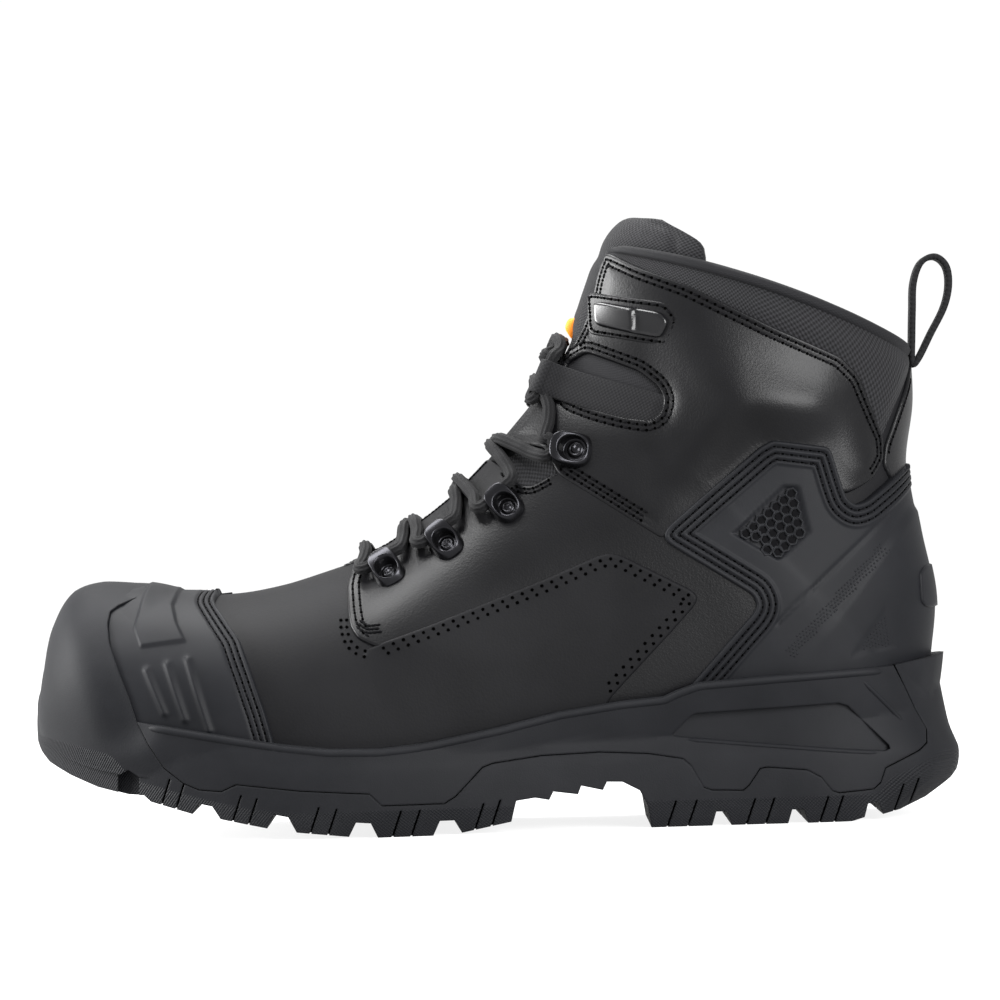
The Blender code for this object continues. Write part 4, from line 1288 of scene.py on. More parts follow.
    def row(self, side: Side, distance: float, pitch: float, first: float = -1.0, last: float = 1e9,
            start: float = 0.0, hole: bool = False) -> Row:
        """Places along the edge.

        Args:
            side: side of the foot.
            distance: millimetres inside the edge.
            pitch: millimetres from one place to the next.
            first: corner number where the row starts.
            last: corner number where it ends.
            start: offset of the first place, in pitches.
            hole: True to follow the hole's edge.

        Returns:
            The row.
        """
        ring, number, drawn, inner = self.loops()
        closed = self.seam is Seam.NONE
        if hole:
            line = self.offset(inner, np.ones(len(inner)), side, distance, True, self.hole_line[side])
        else:
            part = (number >= first) & (number <= last)
            line = self.offset(ring[:drawn], part, side, distance, closed, self.edge_line[side])
        bare = LAST.bare(line[:, 0], line[:, 1], side)
        reach = travel(bare)
        at = np.arange(start * pitch, reach[-1], pitch)
        places = along_line(line, reach, at)
        points = self.lay(places, side, 0.06)
        return Row(points, unit(np.gradient(points, axis=0)), LAST.normal(places[:, 0], places[:, 1], side))


class Repeat(Enum):
    """Shapes that repeat along a row."""

    STITCH = "stitch"
    HOLE = "hole"
    CELL = "cell"


@dataclass
class Scatter:
    """Equal small pieces on rows of places, set out by a node tree."""

    name: str
    shape: Repeat
    size: tuple[float, float, float]
    finish: str
    jitter: float = 0.06
    seed: int = 7
    rows: list[Row] = field(default_factory=list)

    def add(self, *rows: Row) -> None:
        """Adds rows to be filled."""
        self.rows.extend(row for row in rows if len(row.points) > 1)

    def template(self, tree: bpy.types.NodeTree) -> bpy.types.NodeSocket:
        """The small piece itself, one unit in size.

        Args:
            tree: the tree that it is made in.

        Returns:
            The socket that gives its mesh.
        """
        if self.shape is Repeat.STITCH:
            ball = add_node(tree, "GeometryNodeMeshUVSphere", {}, {"Segments": 6, "Rings": 4, "Radius": 0.5})
            return ball.outputs["Mesh"]
        if self.shape is Repeat.HOLE:
            disc = add_node(tree, "GeometryNodeMeshCylinder", {},
                            {"Vertices": 9, "Radius": 0.5, "Depth": 1.0})
            return disc.outputs["Mesh"]
        ring = add_node(tree, "GeometryNodeCurvePrimitiveCircle", {}, {"Resolution": 6, "Radius": 0.5})
        bar = add_node(tree, "GeometryNodeCurvePrimitiveQuadrilateral", {}, {"Width": 0.17, "Height": 1.0})
        sweep = add_node(tree, "GeometryNodeCurveToMesh", {},
                         {"Curve": ring.outputs["Curve"], "Profile Curve": bar.outputs["Curve"]})
        return sweep.outputs["Mesh"]

    def tree(self) -> tuple[bpy.types.NodeTree, dict[str, str]]:
        """The node tree that sets the pieces out.

        Returns:
            The tree, and input name to identifier.
        """
        tree = bpy.data.node_groups.new(self.name + "_tree", "GeometryNodeTree")
        face = tree.interface
        face.new_socket("Geometry", in_out="INPUT", socket_type="NodeSocketGeometry")
        kinds = {"Length": "NodeSocketFloat", "Width": "NodeSocketFloat", "Height": "NodeSocketFloat",
                 "Jitter": "NodeSocketFloat", "Seed": "NodeSocketInt", "Material": "NodeSocketMaterial"}
        keys = {name: face.new_socket(name, in_out="INPUT", socket_type=kind).identifier
                for name, kind in kinds.items()}
        face.new_socket("Geometry", in_out="OUTPUT", socket_type="NodeSocketGeometry")
        given, result = tree.nodes.new("NodeGroupInput"), tree.nodes.new("NodeGroupOutput")
        ask = given.outputs
        size = add_node(tree, "ShaderNodeCombineXYZ", {},
                        {"X": ask["Length"], "Y": ask["Width"], "Z": ask["Height"]})
        scale = add_node(tree, "GeometryNodeTransform", {},
                         {"Geometry": self.template(tree), "Scale": size.outputs[0]})
        out, along = (add_node(tree, "GeometryNodeInputNamedAttribute", {"data_type": "FLOAT_VECTOR"},
                               {"Name": name}).outputs["Attribute"] for name in ("out", "along"))
        turn = add_node(tree, "FunctionNodeAxesToRotation", {"primary_axis": "Z", "secondary_axis": "X"},
                        {"Primary Axis": out, "Secondary Axis": along})
        low, high = (add_node(tree, "ShaderNodeMath", {"operation": operation}, {0: 1.0, 1: ask["Jitter"]})
                     for operation in ("SUBTRACT", "ADD"))
        vary = add_node(tree, "FunctionNodeRandomValue", {"data_type": "FLOAT"}, {"Seed": ask["Seed"]})
        floats = [s for s in vary.inputs if s.type == "VALUE" and s.enabled]
        for socket, end in zip(floats, (low, high)):
            tree.links.new(end.outputs[0], socket)
        drawn = [s for s in vary.outputs if s.type == "VALUE" and s.enabled]
        spread = add_node(tree, "GeometryNodeInstanceOnPoints", {},
                          {"Points": ask["Geometry"], "Instance": scale.outputs["Geometry"],
                           "Rotation": turn.outputs["Rotation"], "Scale": drawn[0]})
        real = add_node(tree, "GeometryNodeRealizeInstances", {}, {"Geometry": spread.outputs["Instances"]})
        coat = add_node(tree, "GeometryNodeSetMaterial", {},
                        {"Geometry": real.outputs["Geometry"], "Material": ask["Material"]})
        tree.links.new(coat.outputs["Geometry"], result.inputs["Geometry"])
        return tree, keys

    def build(self) -> bpy.types.Object:
        """All the small pieces as one plain mesh.

        Returns:
            The piece.
        """
        points = np.vstack([row.points for row in self.rows])
        mesh = bpy.data.meshes.new(self.name + "_places")
        mesh.from_pydata((points * MM).tolist(), [], [])
        for name in ("along", "out"):
            values = np.vstack([getattr(row, name) for row in self.rows])
            layer = mesh.attributes.new(name, "FLOAT_VECTOR", "POINT")
            layer.data.foreach_set("vector", values.astype(np.float32).ravel())
        places = new_object(self.name + "_places", mesh)
        tree, keys = self.tree()
        modifier = places.modifiers.new("spread", "NODES")
        modifier.node_group = tree
        length, width, height = self.size
        for name, value in (("Length", length * MM), ("Width", width * MM), ("Height", height * MM),
                            ("Jitter", self.jitter), ("Seed", self.seed), ("Material", paint(self.finish))):
            modifier[keys[name]] = value
        graph = bpy.context.evaluated_depsgraph_get()
        result = bpy.data.meshes.new_from_object(places.evaluated_get(graph))
        places.modifiers.remove(modifier)
        bpy.data.objects.remove(places)
        result.name = self.name
        if self.shape is Repeat.STITCH:
            result.shade_smooth()
        return new_object(self.name, result)


@dataclass
class UpperShell:
    """The lasted leather body with its lining."""

    outer_levels: int = 84
    inner_levels: int = 30

    def stations(self, fine: int) -> np.ndarray:
        """Stations from toe to collar, closer at the toe."""
        return np.concatenate((np.linspace(0.0, 1.0, 2 * fine, endpoint=False),
                               np.linspace(1.0, THROAT, 9 * fine, endpoint=False),
                               np.linspace(THROAT, FOOT_END, 12 * fine, endpoint=False),
                               np.linspace(FOOT_END, COLLAR, 7 * fine)))

    def creases(self, s: np.ndarray, v: np.ndarray) -> np.ndarray:
        """Soft hollows of the vamp where the foot bends.

        Args:
            s: stations.
            v: levels.

        Returns:
            Height, less than nothing.
        """
        front = 0.5 * np.exp(-((s - 7.0 + 0.5 * v) / 0.35) ** 2)
        rear = 0.35 * np.exp(-((s - 7.9 + 0.9 * v) / 0.3) ** 2)
        return -(front + rear) * ease(0.45, 0.75, v)

    def build(self) -> bpy.types.Object:
        """Outer face and lining.

        Returns:
            The piece.
        """
        points, faces, picks, cloth = [], [], [], []
        start = 0
        for side in Side:
            for inside, fine, levels in ((0, 9, self.outer_levels), (1, 4, self.inner_levels)):
                rows = self.stations(fine)
                s = np.repeat(rows[:, None], levels, 1)
                v = np.linspace(0.0, 1.0, levels)[None, :] * LAST.throat(rows)[:, None]
                lift = -LAST.wall(s, v) if inside else self.creases(s, v)
                points.append(LAST.skin(s, v, side, lift).reshape(-1, 3))
                cloth.append(np.column_stack((s.ravel() * 12.0, v.ravel() * CLOTH_RISE)))
                made = quads(len(rows), levels, False)
                flip = (side is Side.OUTER) == bool(inside)
                made = [f if flip else f[::-1] for f in made]
                faces += [tuple(i + start for i in f) for f in made]
                picks += [inside] * len(made)
                start += len(points[-1])
        return make("upper_leather", np.vstack(points), faces, ("vamp", "lining"), picks, np.vstack(cloth))

    def dress(self) -> None:
        """Builds the shell and hands it over."""
        dress(self.build(), "upper_leather", "upper")


@dataclass
class Collar:
    """Padded mesh band with a smooth roll over its top edge and the lining inside."""

    roll: float = 1.5
    piping: tuple[float, float, float] = (0.22, 0.18, 0.1)
    pad: tuple[float, float, float] = (0.35, 1.5, 7.0)
    columns: int = 70
    depth: int = 16
    arch: int = 12

    def band(self) -> Panel:
        """Mesh band above the ankle panel and down to the heel.

        Returns:
            The panel.
        """
        levels = np.linspace(float(LAST.throat(COLLAR)) - 0.01, 0.01, 24)
        top = [(p[0], p[2]) for p in LAST.bare(np.full(levels.shape, COLLAR - 0.2), levels, Side.OUTER)]
        low = [
            (139.6, 146.0), (135.0, 137.0), (129.6, 125.6), (127.0, 117.0), (124.5, 121.0), (124.6, 127.0),
            (121.8, 135.8), (118.2, 144.2), (113.6, 149.6), (92.6, 159.6), (65.2, 174.2), (50.2, 180.8),
            (38.6, 183.2)]

        def puff(spots: Spots) -> np.ndarray:
            """Height of the padding, full some way in from the edge."""
            low, more, full = self.pad
            return low + more * ease(0.0, full, spots.depth)

        return Panel("collar_mesh", "mesh", [(141.3, 150.0)] + low + top, 1.6, 0.15, Seam.BACK, soften=0.9,
                     rings=(1.6, 2.6, 4.0, 5.6), pitch=2.6, profile=puff)

    def lining(self) -> bpy.types.Object:
        """Roll over the collar's edge, then down the inside.

        Returns:
            The piece.
        """
        points, cloth = [], []
        edge = float(LAST.throat(COLLAR))
        for side in Side:
            levels = np.linspace(edge, 0.0, self.columns)
            if side is Side.INNER:
                levels = levels[::-1]
            for v in levels:
                share = ease(edge, edge - 0.06, v)
                outer = LAST.skin(COLLAR, v, side, 1.1 * share)
                inner = LAST.skin(COLLAR, v, side, -LAST.wall(COLLAR, v) - 0.2)
                up = unit(LAST.bare(COLLAR, v, side) - LAST.bare(COLLAR - 0.3, v, side))
                tall = self.roll * ease(edge + 0.02, edge - 0.05, v) + 0.4
                angle = np.linspace(0.0, math.pi, self.arch)
                middle, half = (outer + inner) / 2, (outer - inner) / 2
                ring = middle + np.cos(angle)[:, None] * half + np.sin(angle)[:, None] * up * tall
                under = COLLAR - np.array(self.piping)
                low = LAST.skin(under, np.full(3, v), side, np.array((0.0, 0.9, 1.5)) * share)
                down = np.linspace(COLLAR - 0.3, 16.5, self.depth)
                stack = np.full(down.shape, v)
                inside = LAST.skin(down, stack, side, -LAST.wall(down, stack) - 0.2)
                points.append(np.vstack((low, ring, inside)))
                cloth.append(np.column_stack((np.full(len(points[-1]), v * CLOTH_RISE * side.value),
                                              np.arange(len(points[-1])) * 1.5)))
        faces = quads(len(points), len(points[0]), False)
        return make("collar_lining", np.vstack(points), faces, ("lining",), cloth=np.vstack(cloth), weld=True)

    def dress(self) -> None:
        """Builds band and roll."""
        band = dress(self.band().build(*Side), "tongue_cloth")
        dress(self.lining(), "insole_cloth")


@dataclass
class Tongue:
    """Padded tongue: mesh outside, lining inside, a thick top and a plain label stripe."""

    thick: float = 4.5
    gap: float = 0.5
    dip: float = 2.4
    pressed: float = 4.2
    rows: int = 150
    levels: int = 44
    swell: float = 2.6
    label: tuple[float, float] = (15.1, 16.7)
    seam: Line = ((56.0, 200.5), (58.2, 199.1), (60.8, 197.7), (62.0, 195.0), (62.1, 188.0))

    def lift(self, s: float, levels: np.ndarray) -> np.ndarray:
        """Depth of the tongue's face under the skin.

        Args:
            s: station.
            levels: levels there.

        Returns:
            Lift over the skin, less than nothing.
        """
        edge = float(LAST.throat(s))
        dip = self.dip + self.pressed * ease(THROAT, THROAT + 1.2, s) * (1.0 - ease(15.0, 17.0, s))
        dip = dip * ease(min(edge, 0.9), 1.0, levels) * ease(THROAT, THROAT + 1.0, s)
        return -(LAST.wall(np.full(levels.shape, s), levels) + self.gap + dip)

    def build(self) -> bpy.types.Object:
        """The tongue as a closed padded body.

        Returns:
            The piece.
        """
        rings, cloth = [], []
        for s in np.linspace(7.0, 24.0, self.rows):
            edge = float(LAST.throat(s))
            first = 0.662 + 0.03 * float(ease(22.2, 23.4, s)) + 0.2 * float(ease(23.0, 24.1, s))
            levels = np.linspace(first * edge, 1.0, self.levels)
            stack = np.full(levels.shape, s)
            full = self.thick * (0.45 + 0.55 * ease(0.0, 0.12, levels - levels[0]))
            full = full + self.swell * float(ease(21.6, 22.8, s))
            crown = math.sqrt(max(1.0 - (max(s - 23.1, 0.0) / 0.92) ** 2, 0.0))
            lift = self.lift(s, levels) + 0.9 * float(ease(21.8, 22.8, s)) - full * (1.0 - crown) / 2
            lift = lift - 0.9 * rib(LAST.bare(stack, levels, Side.OUTER)[:, ::2], self.seam, 1.3)
            outer = [LAST.skin(stack, levels, side, lift) for side in Side]
            inner = [LAST.skin(stack, levels, side, lift - full * crown) for side in Side]
            rings.append(np.vstack((outer[0], outer[1][-2::-1], inner[1], inner[0][-2::-1])))
            across = np.concatenate((levels, 2.0 - levels[-2::-1]))
            across = np.concatenate((across, across[::-1])) * CLOTH_RISE
            cloth.append(np.column_stack((np.full(len(across), s * 9.0), across)))
        width = len(rings[0])
        faces = quads(len(rings), width, True)
        half = width // 2
        picks = [0 if i < half else 1 for _ in range(len(rings) - 1) for i in range(width)]
        for base, turn in ((0, 1), ((len(rings) - 1) * width, -1)):
            cap = [(base + i, base + i + 1, base + width - 2 - i, base + width - 1 - i)[::turn]
                   for i in range(half - 1)]
            faces += cap
            picks += [1] * len(cap)
        thing = make("tongue_padded", np.vstack(rings), faces, ("mesh", "lining"), picks, np.vstack(cloth))
        return turned_out(thing)

    def stripe(self) -> bpy.types.Object:
        """Plain label stripe on the tongue's face.

        Returns:
            The piece.
        """
        rows = np.linspace(*self.label, 12)
        points = []
        for s, part in zip(rows, np.linspace(0.0, math.pi, len(rows))):
            levels = np.linspace(0.93, 1.0, 10)
            puff = 3.3 * math.sqrt(max(math.sin(part), 0.0)) * (levels > levels[0])
            lift = self.lift(s, levels) - 0.3 + puff
            halves = [LAST.skin(np.full(levels.shape, s), levels, side, lift) for side in Side]
            points.append(np.vstack((halves[0], halves[1][-2::-1])))
        faces = [f[::-1] for f in quads(len(rows), len(points[0]), False)]
        return make("tongue_label", np.vstack(points), faces, ("label",))

    def dress(self) -> None:
        """Builds the tongue and its stripe."""
        tongue = dress(self.build(), "tongue_cloth", "tongue")
        dress(self.stripe(), "tongue_cloth")


def turned_out(thing: bpy.types.Object) -> bpy.types.Object:
    """A closed piece with equal points merged and its faces turned outward.

    Args:
        thing: the piece.

    Returns:
        The piece.
    """
    clean(thing.data, EQUAL, False, True)
    thing.data.update()
    return thing


def trench(depth: np.ndarray, at: float, width: float) -> np.ndarray:
    """Soft groove of depth 1 at a distance from the edge."""
    return np.exp(-((depth - at) / width) ** 2)


def raised(points: np.ndarray, polygon: Line, soft: float) -> np.ndarray:
    """Soft step from 0 outside a side-view polygon to 1 inside it.

    Args:
        points: x, z rows.
        polygon: its corners.
        soft: millimetres on each side of the edge.

    Returns:
        Step of each point.
    """
    corners = np.asarray(polygon, float)
    gap = to_line(points, np.vstack((corners, corners[:1])))
    return ease(-soft, soft, np.where(within(points, corners), gap, -gap))


def rib(points: np.ndarray, line: Line, width: float) -> np.ndarray:
    """Soft round rib of height 1 along a side-view line."""
    gap = to_line(points, line)
    return np.exp(-(gap / width) ** 2)


def scatter(*sizes: Any) -> Any:
    """Field of a class that starts as a Scatter of these sizes."""
    return field(default_factory=lambda: Scatter(*sizes))


@dataclass
class Overlays:
    """Leather panels and moulded overlays on the upper, with their stitches, and dark discs of painted shade
    at their holes and honeycomb cells.
    """

    stitch: Scatter = scatter("stitches", Repeat.STITCH, (2.1, 0.95, 0.7), "thread")
    # Dark discs at the needle holes: painted shade inside the holes.
    needle: Scatter = scatter("needle_holes", Repeat.HOLE, (1.0, 1.0, 0.3), "hole")
    # Dark discs at the punched holes: painted shade inside the holes.
    punched: Scatter = scatter("punched_holes", Repeat.HOLE, (1.1, 1.1, 0.26), "hole")
    comb: Scatter = scatter("heel_honeycomb", Repeat.CELL, (3.75, 3.75, 1.0), "overlay", 0.0)
    # Dark discs in the honeycomb cells, in the thread finish: painted shade on the cells' floors.
    cell_shade_discs: Scatter = scatter("heel_cells", Repeat.HOLE, (2.3, 2.3, 0.3), "thread", 0.0)
    dots: Scatter = scatter("heel_dots", Repeat.STITCH, (0.85, 0.85, 0.6), "overlay", 0.0)
    border: tuple[float, float, float] = (2.2, 4.3, 6.4)
    cap_rows: tuple[float, float, float] = (1.9, 3.8, 5.7)
    stitch_pitch: float = 2.9
    comb_pitch: float = 3.3
    dot_pitch: float = 1.25
    punch_pitch: float = 3.5
    cap_groove: float = 0.65
    counter_groove: float = 0.75
    groove_wide: float = 0.55
    ankle_rows: tuple[float, float] = (1.9, 3.7)
    ankle_groove: tuple[float, float] = (0.18, 0.6)
    ankle_pad: float = 6.2

    def sew(self, panel: Panel, side: Side, distances: Sequence[float], first: float = -1.0,
            last: float = 1e9, hole: bool = False) -> None:
        """Rows of stitches with a needle hole between each two, each hole a dark disc of painted shade.

        Args:
            panel: the panel that is sewn.
            side: side of the foot.
            distances: millimetres inside its edge.
            first: corner number where the rows start.
            last: corner number where they end.
            hole: True to follow the hole's edge.
        """
        for distance in distances:
            self.stitch.add(panel.row(side, distance, self.stitch_pitch, first, last, 0.5, hole))
            # Each needle hole is a dark disc of painted shade.
            self.needle.add(panel.row(side, distance, self.stitch_pitch, first, last, 0.0, hole))

    def toe_cap(self) -> None:
        """Scuff cap behind the bumper, over the ridge."""
        rear = [
            (-88.0, 82.5), (-91.7, 80.1), (-93.0, 77.0), (-88.6, 71.4), (-83.4, 64.7), (-79.4, 54.0),
            (-75.4, 42.1), (-72.8, 32.4)]
        hidden = [
            (-73.0, 28.0), (-95.0, 31.0), (-114.0, 36.0), (-122.0, 46.0), (-128.0, 56.0), (-131.0, 66.0),
            (-131.0, 73.0), (-127.0, 78.0), (-121.0, 82.0)]
        plate = [
            (-118.1, 68.6), (-115.7, 62.9), (-101.5, 64.2), (-104.6, 69.6), (-106.4, 75.0), (-105.0, 80.0),
            (-103.0, 86.0), (-114.0, 86.0), (-116.4, 76.0)]
        ribs = (((-113.6, 55.7), (-108.0, 42.5)), ((-107.0, 57.2), (-101.3, 40.3)),
                ((-100.4, 58.3), (-93.5, 36.5)))

        def relief(spots: Spots) -> np.ndarray:
            """Height of the cap: sewn grooves, a raised plate, ribs and a lip beside the bumper.

            Args:
                spots: places on the panel.

            Returns:
                Height at each place.
            """
            high = np.full(spots.depth.shape, 1.75)
            for at in self.cap_rows:
                high -= self.cap_groove * trench(spots.depth, at, self.groove_wide)
            high += 0.8 * raised(spots.side_view, plate, 0.45) * ease(7.0, 8.0, spots.depth)
            for line in ribs:
                high += 1.0 * rib(spots.side_view, line, 1.1)
            gap = to_line(spots.side_view, Sole.bumper)
            return high + (0.5 + 0.95 * ease(66.0, 76.0, spots.side_view[:, 1])) * ease(9.0, 0.5, gap)

        rings = (1.3, 1.7, 2.1, 2.6, 3.0, 3.4, 3.8, 4.2, 4.8, 5.2, 5.7, 6.2, 6.8)
        panel = Panel("toe_scuff_cap", "overlay", rear + hidden, 1.75, 0.2, Seam.RIDGE, (-1.0, 7.3), 1.0, 0.7,
                      rings, 0.65, profile=relief)
        dress(panel.build(*Side), "overlay_rubber", "toe_cap")
        for side in Side:
            self.sew(panel, side, self.cap_rows, 0.0, 7.1)

    def counter(self) -> None:
        """Moulded heel counter with its ribbed border and honeycomb window, whose cells get dark discs of
        painted shade.
        """
        under = [(146.0, 46.0), (131.0, 46.0), (109.0, 45.0), (93.0, 44.5), (70.0, 42.5), (60.5, 42.8)]
        seen = [
            (64.9, 47.9), (84.9, 69.4), (86.4, 72.1), (85.0, 75.5), (57.7, 93.1), (56.5, 95.7),
            (57.8, 98.4), (88.3, 123.9), (92.9, 126.4), (110.6, 123.7), (111.9, 122.3), (114.8, 111.7),
            (116.5, 106.4), (119.2, 104.1), (122.9, 105.3), (130.8, 111.3), (140.0, 118.8)]
        window = [(79.2, 95.8), (96.1, 110.9), (100.7, 110.5), (104.0, 95.6), (93.7, 86.7)]
        crease = [(129.8, 100.2), (92.8, 66.1)]
        back = [(138.2, 101.6), (98.3, 50.0), (150.0, 48.0), (150.0, 104.0)]
        wedge = [(127.8, 70.0), (131.4, 57.0), (117.0, 54.6)]

        strip = [(127.0, 91.6), (130.4, 88.6), (98.0, 54.4), (94.8, 57.4)]
        tab = [(146.5, 83.4), (141.0, 82.8), (139.2, 80.6), (139.6, 71.0), (141.6, 69.2), (146.8, 69.4)]

        def relief(spots: Spots) -> np.ndarray:
            """Height of the counter: a grooved border, the sunk window, a crease and the full back.

            Args:
                spots: places on the panel.

            Returns:
                Height at each place.
            """
            high = 2.45 - 0.65 * ease(7.0, 8.4, spots.depth)
            for at in self.border:
                high -= self.counter_groove * trench(spots.depth, at, self.groove_wide)
            field_part = ease(7.6, 9.0, spots.depth)
            high -= 0.9 * raised(spots.side_view, window, 0.7) * field_part
            high -= 0.5 * rib(spots.side_view, crease, 0.7) * field_part
            upper_part = field_part * ease(52.0, 74.0, spots.side_view[:, 1])
            high += 0.8 * raised(spots.side_view, back, 1.6) * upper_part
            return high - 0.3 * raised(spots.side_view, wedge, 0.9) * field_part

        rings = tuple(np.arange(1.0, 9.2, 0.4))
        panel = Panel("heel_counter_moulded", "overlay", under + seen, 2.4, 0.25, Seam.BACK, (5.6, 1e9), 1.0,
                      0.8, rings, 0.8, profile=relief)
        dress(panel.build(*Side), "overlay_rubber", "heel_counter")
        block = Panel("heel_block", "overlay", tab, 1.0, 2.6, Seam.BACK, soften=0.8, pitch=1.4)
        dress(block.build(*Side), "overlay_rubber")
        for side in Side:
            self.sew(panel, side, self.border, 6.0, 21.8)
            self.comb.add(self.cells(panel, side, window, self.comb_pitch, 0.9, 0.42))
            # Dark discs of painted shade in the honeycomb cells.
            self.cell_shade_discs.add(self.cells(panel, side, window, self.comb_pitch, 0.9, 0.1))
            self.dots.add(self.cells(panel, side, strip, self.dot_pitch, 0.2, -0.1),
                          self.cells(panel, side, wedge, self.dot_pitch, 0.8, -0.1))

    def cells(self, panel: Panel, side: Side, window: Line, pitch: float, margin: float, lift: float) -> Row:
        """Places in a six-sided net inside a window.

        Args:
            panel: what they lie on.
            side: side of the foot.
            window: side-view corners.
            pitch: millimetres from one place to the next.
            margin: millimetres kept free inside the window.
            lift: millimetres over the panel.

        Returns:
            The places.
        """
        corners = np.asarray(window, float)
        low, high = corners.min(0), corners.max(0)
        tilt = math.radians(40.0)
        turn = np.array(((math.cos(tilt), -math.sin(tilt)), (math.sin(tilt), math.cos(tilt))))
        reach = int(np.linalg.norm(high - low) / pitch / 1.6) + 2
        a, b = np.meshgrid(np.arange(-reach, reach + 1), np.arange(-reach, reach + 1))
        net = np.column_stack(((a + (b % 2) * 0.5).ravel(), (b * 0.866).ravel())) * pitch
        net = net @ turn.T + (low + high) / 2
        gap = to_line(net, np.vstack((corners, corners[:1])))
        net = net[within(net, corners) & (gap > margin)]
        places = LAST.place(net)
        ahead = LAST.place(net + turn @ np.array((0.0, 0.5)))
        points = panel.lay(places, side, lift)
        along = unit(panel.lay(ahead, side, lift) - points)
        return Row(points, along, LAST.normal(places[:, 0], places[:, 1], side))

    def eyestay(self, side: Side) -> None:
        """Smooth leather along the throat and down behind the vamp's wing.

        Args:
            side: side of the foot.
        """
        front = [(-45.6, 89.4), (-48.2, 81.2), (-47.8, 73.4), (-47.0, 68.4), (-44.8, 64.8), (-40.6, 62.6)]
        hidden = [
            (-34.0, 60.0), (-21.8, 63.0), (17.2, 77.6), (34.1, 84.6), (39.0, 86.0), (43.0, 85.0),
            (60.0, 76.0), (61.4, 73.6), (56.0, 68.0), (36.0, 48.0), (28.0, 34.0), (45.0, 36.0),
            (62.0, 40.0), (68.0, 46.0), (88.0, 68.0), (89.6, 72.4), (88.0, 77.6), (62.0, 94.8),
            (57.0, 97.6), (25.5, 118.0)]
        notch = [(19.9, 116.2), (13.9, 113.0), (9.4, 113.8), (7.0, 119.0)]
        throat = LAST.throat_line(10.25, THROAT + 0.35, 9)
        outline = front + hidden + notch + throat
        panel = Panel("eyestay_leather" + side.ending, "smooth", outline, 1.1, 0.15, soften=1.0)
        dress(panel.build(side), "panel_leather", "eyestay" + side.ending)
        self.sew(panel, side, (2.2, 4.4), 0.3, 4.6)
        self.sew(panel, side, (1.4, 2.9), 26.0, 29.2)
        self.sew(panel, side, (1.6,), 30.0, 37.0)

    def wing(self, side: Side) -> None:
        """The vamp's wing over the eyestay's lower edge, with punched rows drawn as dark discs of painted
        shade.

        Args:
            side: side of the foot.
        """
        seen = [
            (-41.6, 61.4), (-36.0, 63.2), (-21.8, 68.0), (17.2, 82.5), (34.1, 89.5), (38.2, 90.7),
            (42.5, 89.9), (65.6, 77.8), (67.6, 75.3), (66.3, 72.4), (58.5, 64.2), (38.5, 43.9)]
        hidden = [(31.0, 34.0), (0.0, 28.0), (-30.0, 25.0), (-48.0, 27.0), (-52.0, 38.0), (-48.0, 56.0)]
        curl = [(-50.2, 72.0), (-50.0, 67.4), (-48.2, 62.6), (-44.6, 59.6), (-41.0, 58.8), (-38.2, 60.0)]

        def taper(spots: Spots) -> np.ndarray:
            """Height of the wing, running out to nothing at its front and far from its edge."""
            start = (spots.side_view[:, 0] + 43.0) / (8.0 + 2.2 * spots.depth)
            return 2.3 * ease(0.0, 1.0, start) * (1.0 - ease(4.0, 46.0, spots.depth))

        panel = Panel("vamp_wing" + side.ending, "vamp", seen + hidden, 2.0, -0.06, edge=(-0.4, 11.4),
                      soften=1.2, round_edge=1.0, rings=(2.4, 3.4), profile=taper)
        dress(panel.build(side), "upper_leather")
        for distance, start in ((2.0, 0.0), (4.1, 0.5)):
            # Punched holes as dark discs of painted shade.
            self.punched.add(panel.row(side, distance, self.punch_pitch, 0.4, 11.0, start))
        self.punched.add(self.trail(curl, side, 0.06, 3.0), self.trail(curl, side, 0.06, 3.0, 1.9))
        tack = [(-44.8, 68.0), (-41.6, 66.2), (-37.0, 66.4)]
        for aside in (0.0, 1.1, 2.2):
            self.stitch.add(self.trail(tack, side, 1.4, 1.5, aside))

    def trail(self, line: Line, side: Side, lift: float, pitch: float, aside: float = 0.0) -> Row:
        """Places along a side-view line on the bare upper.

        Args:
            line: corners of the line.
            side: side of the foot.
            lift: millimetres over the skin.
            pitch: millimetres from one place to the next.
            aside: millimetres to the line's right.

        Returns:
            The row.
        """
        dense = spline(line, np.linspace(0.0, len(line) - 1.0, 80))
        way = unit(np.gradient(dense, axis=0))
        dense = dense + np.stack((way[:, 1], -way[:, 0]), 1) * -aside
        places = LAST.place(dense)
        points = LAST.skin(places[:, 0], places[:, 1], side, np.full(len(places), lift))
        reach = travel(points)
        at = np.arange(0.5 * pitch, reach[-1], pitch)
        spots = along_line(points, reach, at)
        nearest = places[np.searchsorted(reach, at)]
        return Row(spots, unit(np.gradient(spots, axis=0)), LAST.normal(nearest[:, 0], nearest[:, 1], side))

    def ankle(self, side: Side) -> None:
        """Smooth ankle panel with its oval cut-out, the cloth behind it and the top lace plate.

        Args:
            side: side of the foot.
        """
        edge = [
            (51.4, 184.5), (67.0, 178.0), (94.6, 163.2), (116.0, 153.2), (122.1, 146.9), (125.8, 137.2),
            (129.7, 126.6), (129.5, 118.5), (126.0, 112.6), (121.1, 109.6), (117.6, 108.0), (113.0, 108.0),
            (107.0, 118.0), (92.8, 122.8), (89.6, 121.6), (60.6, 98.2), (56.1, 94.4), (22.8, 116.3),
            (19.0, 124.9)]
        throat = LAST.throat_line(10.66, 21.75, 12)
        oval = [
            (33.4, 156.8), (41.6, 153.5), (50.6, 149.8), (56.6, 144.6), (58.3, 140.6), (56.7, 135.4),
            (52.7, 133.9), (44.0, 135.4), (35.5, 137.9), (28.0, 141.2), (25.6, 146.0), (27.0, 153.0)]
        count = len(throat)
        border = [(56.1, 94.4), (60.6, 98.2), (89.6, 124.0), (110.6, 123.7), (114.8, 111.7), (119.0, 106.0)]

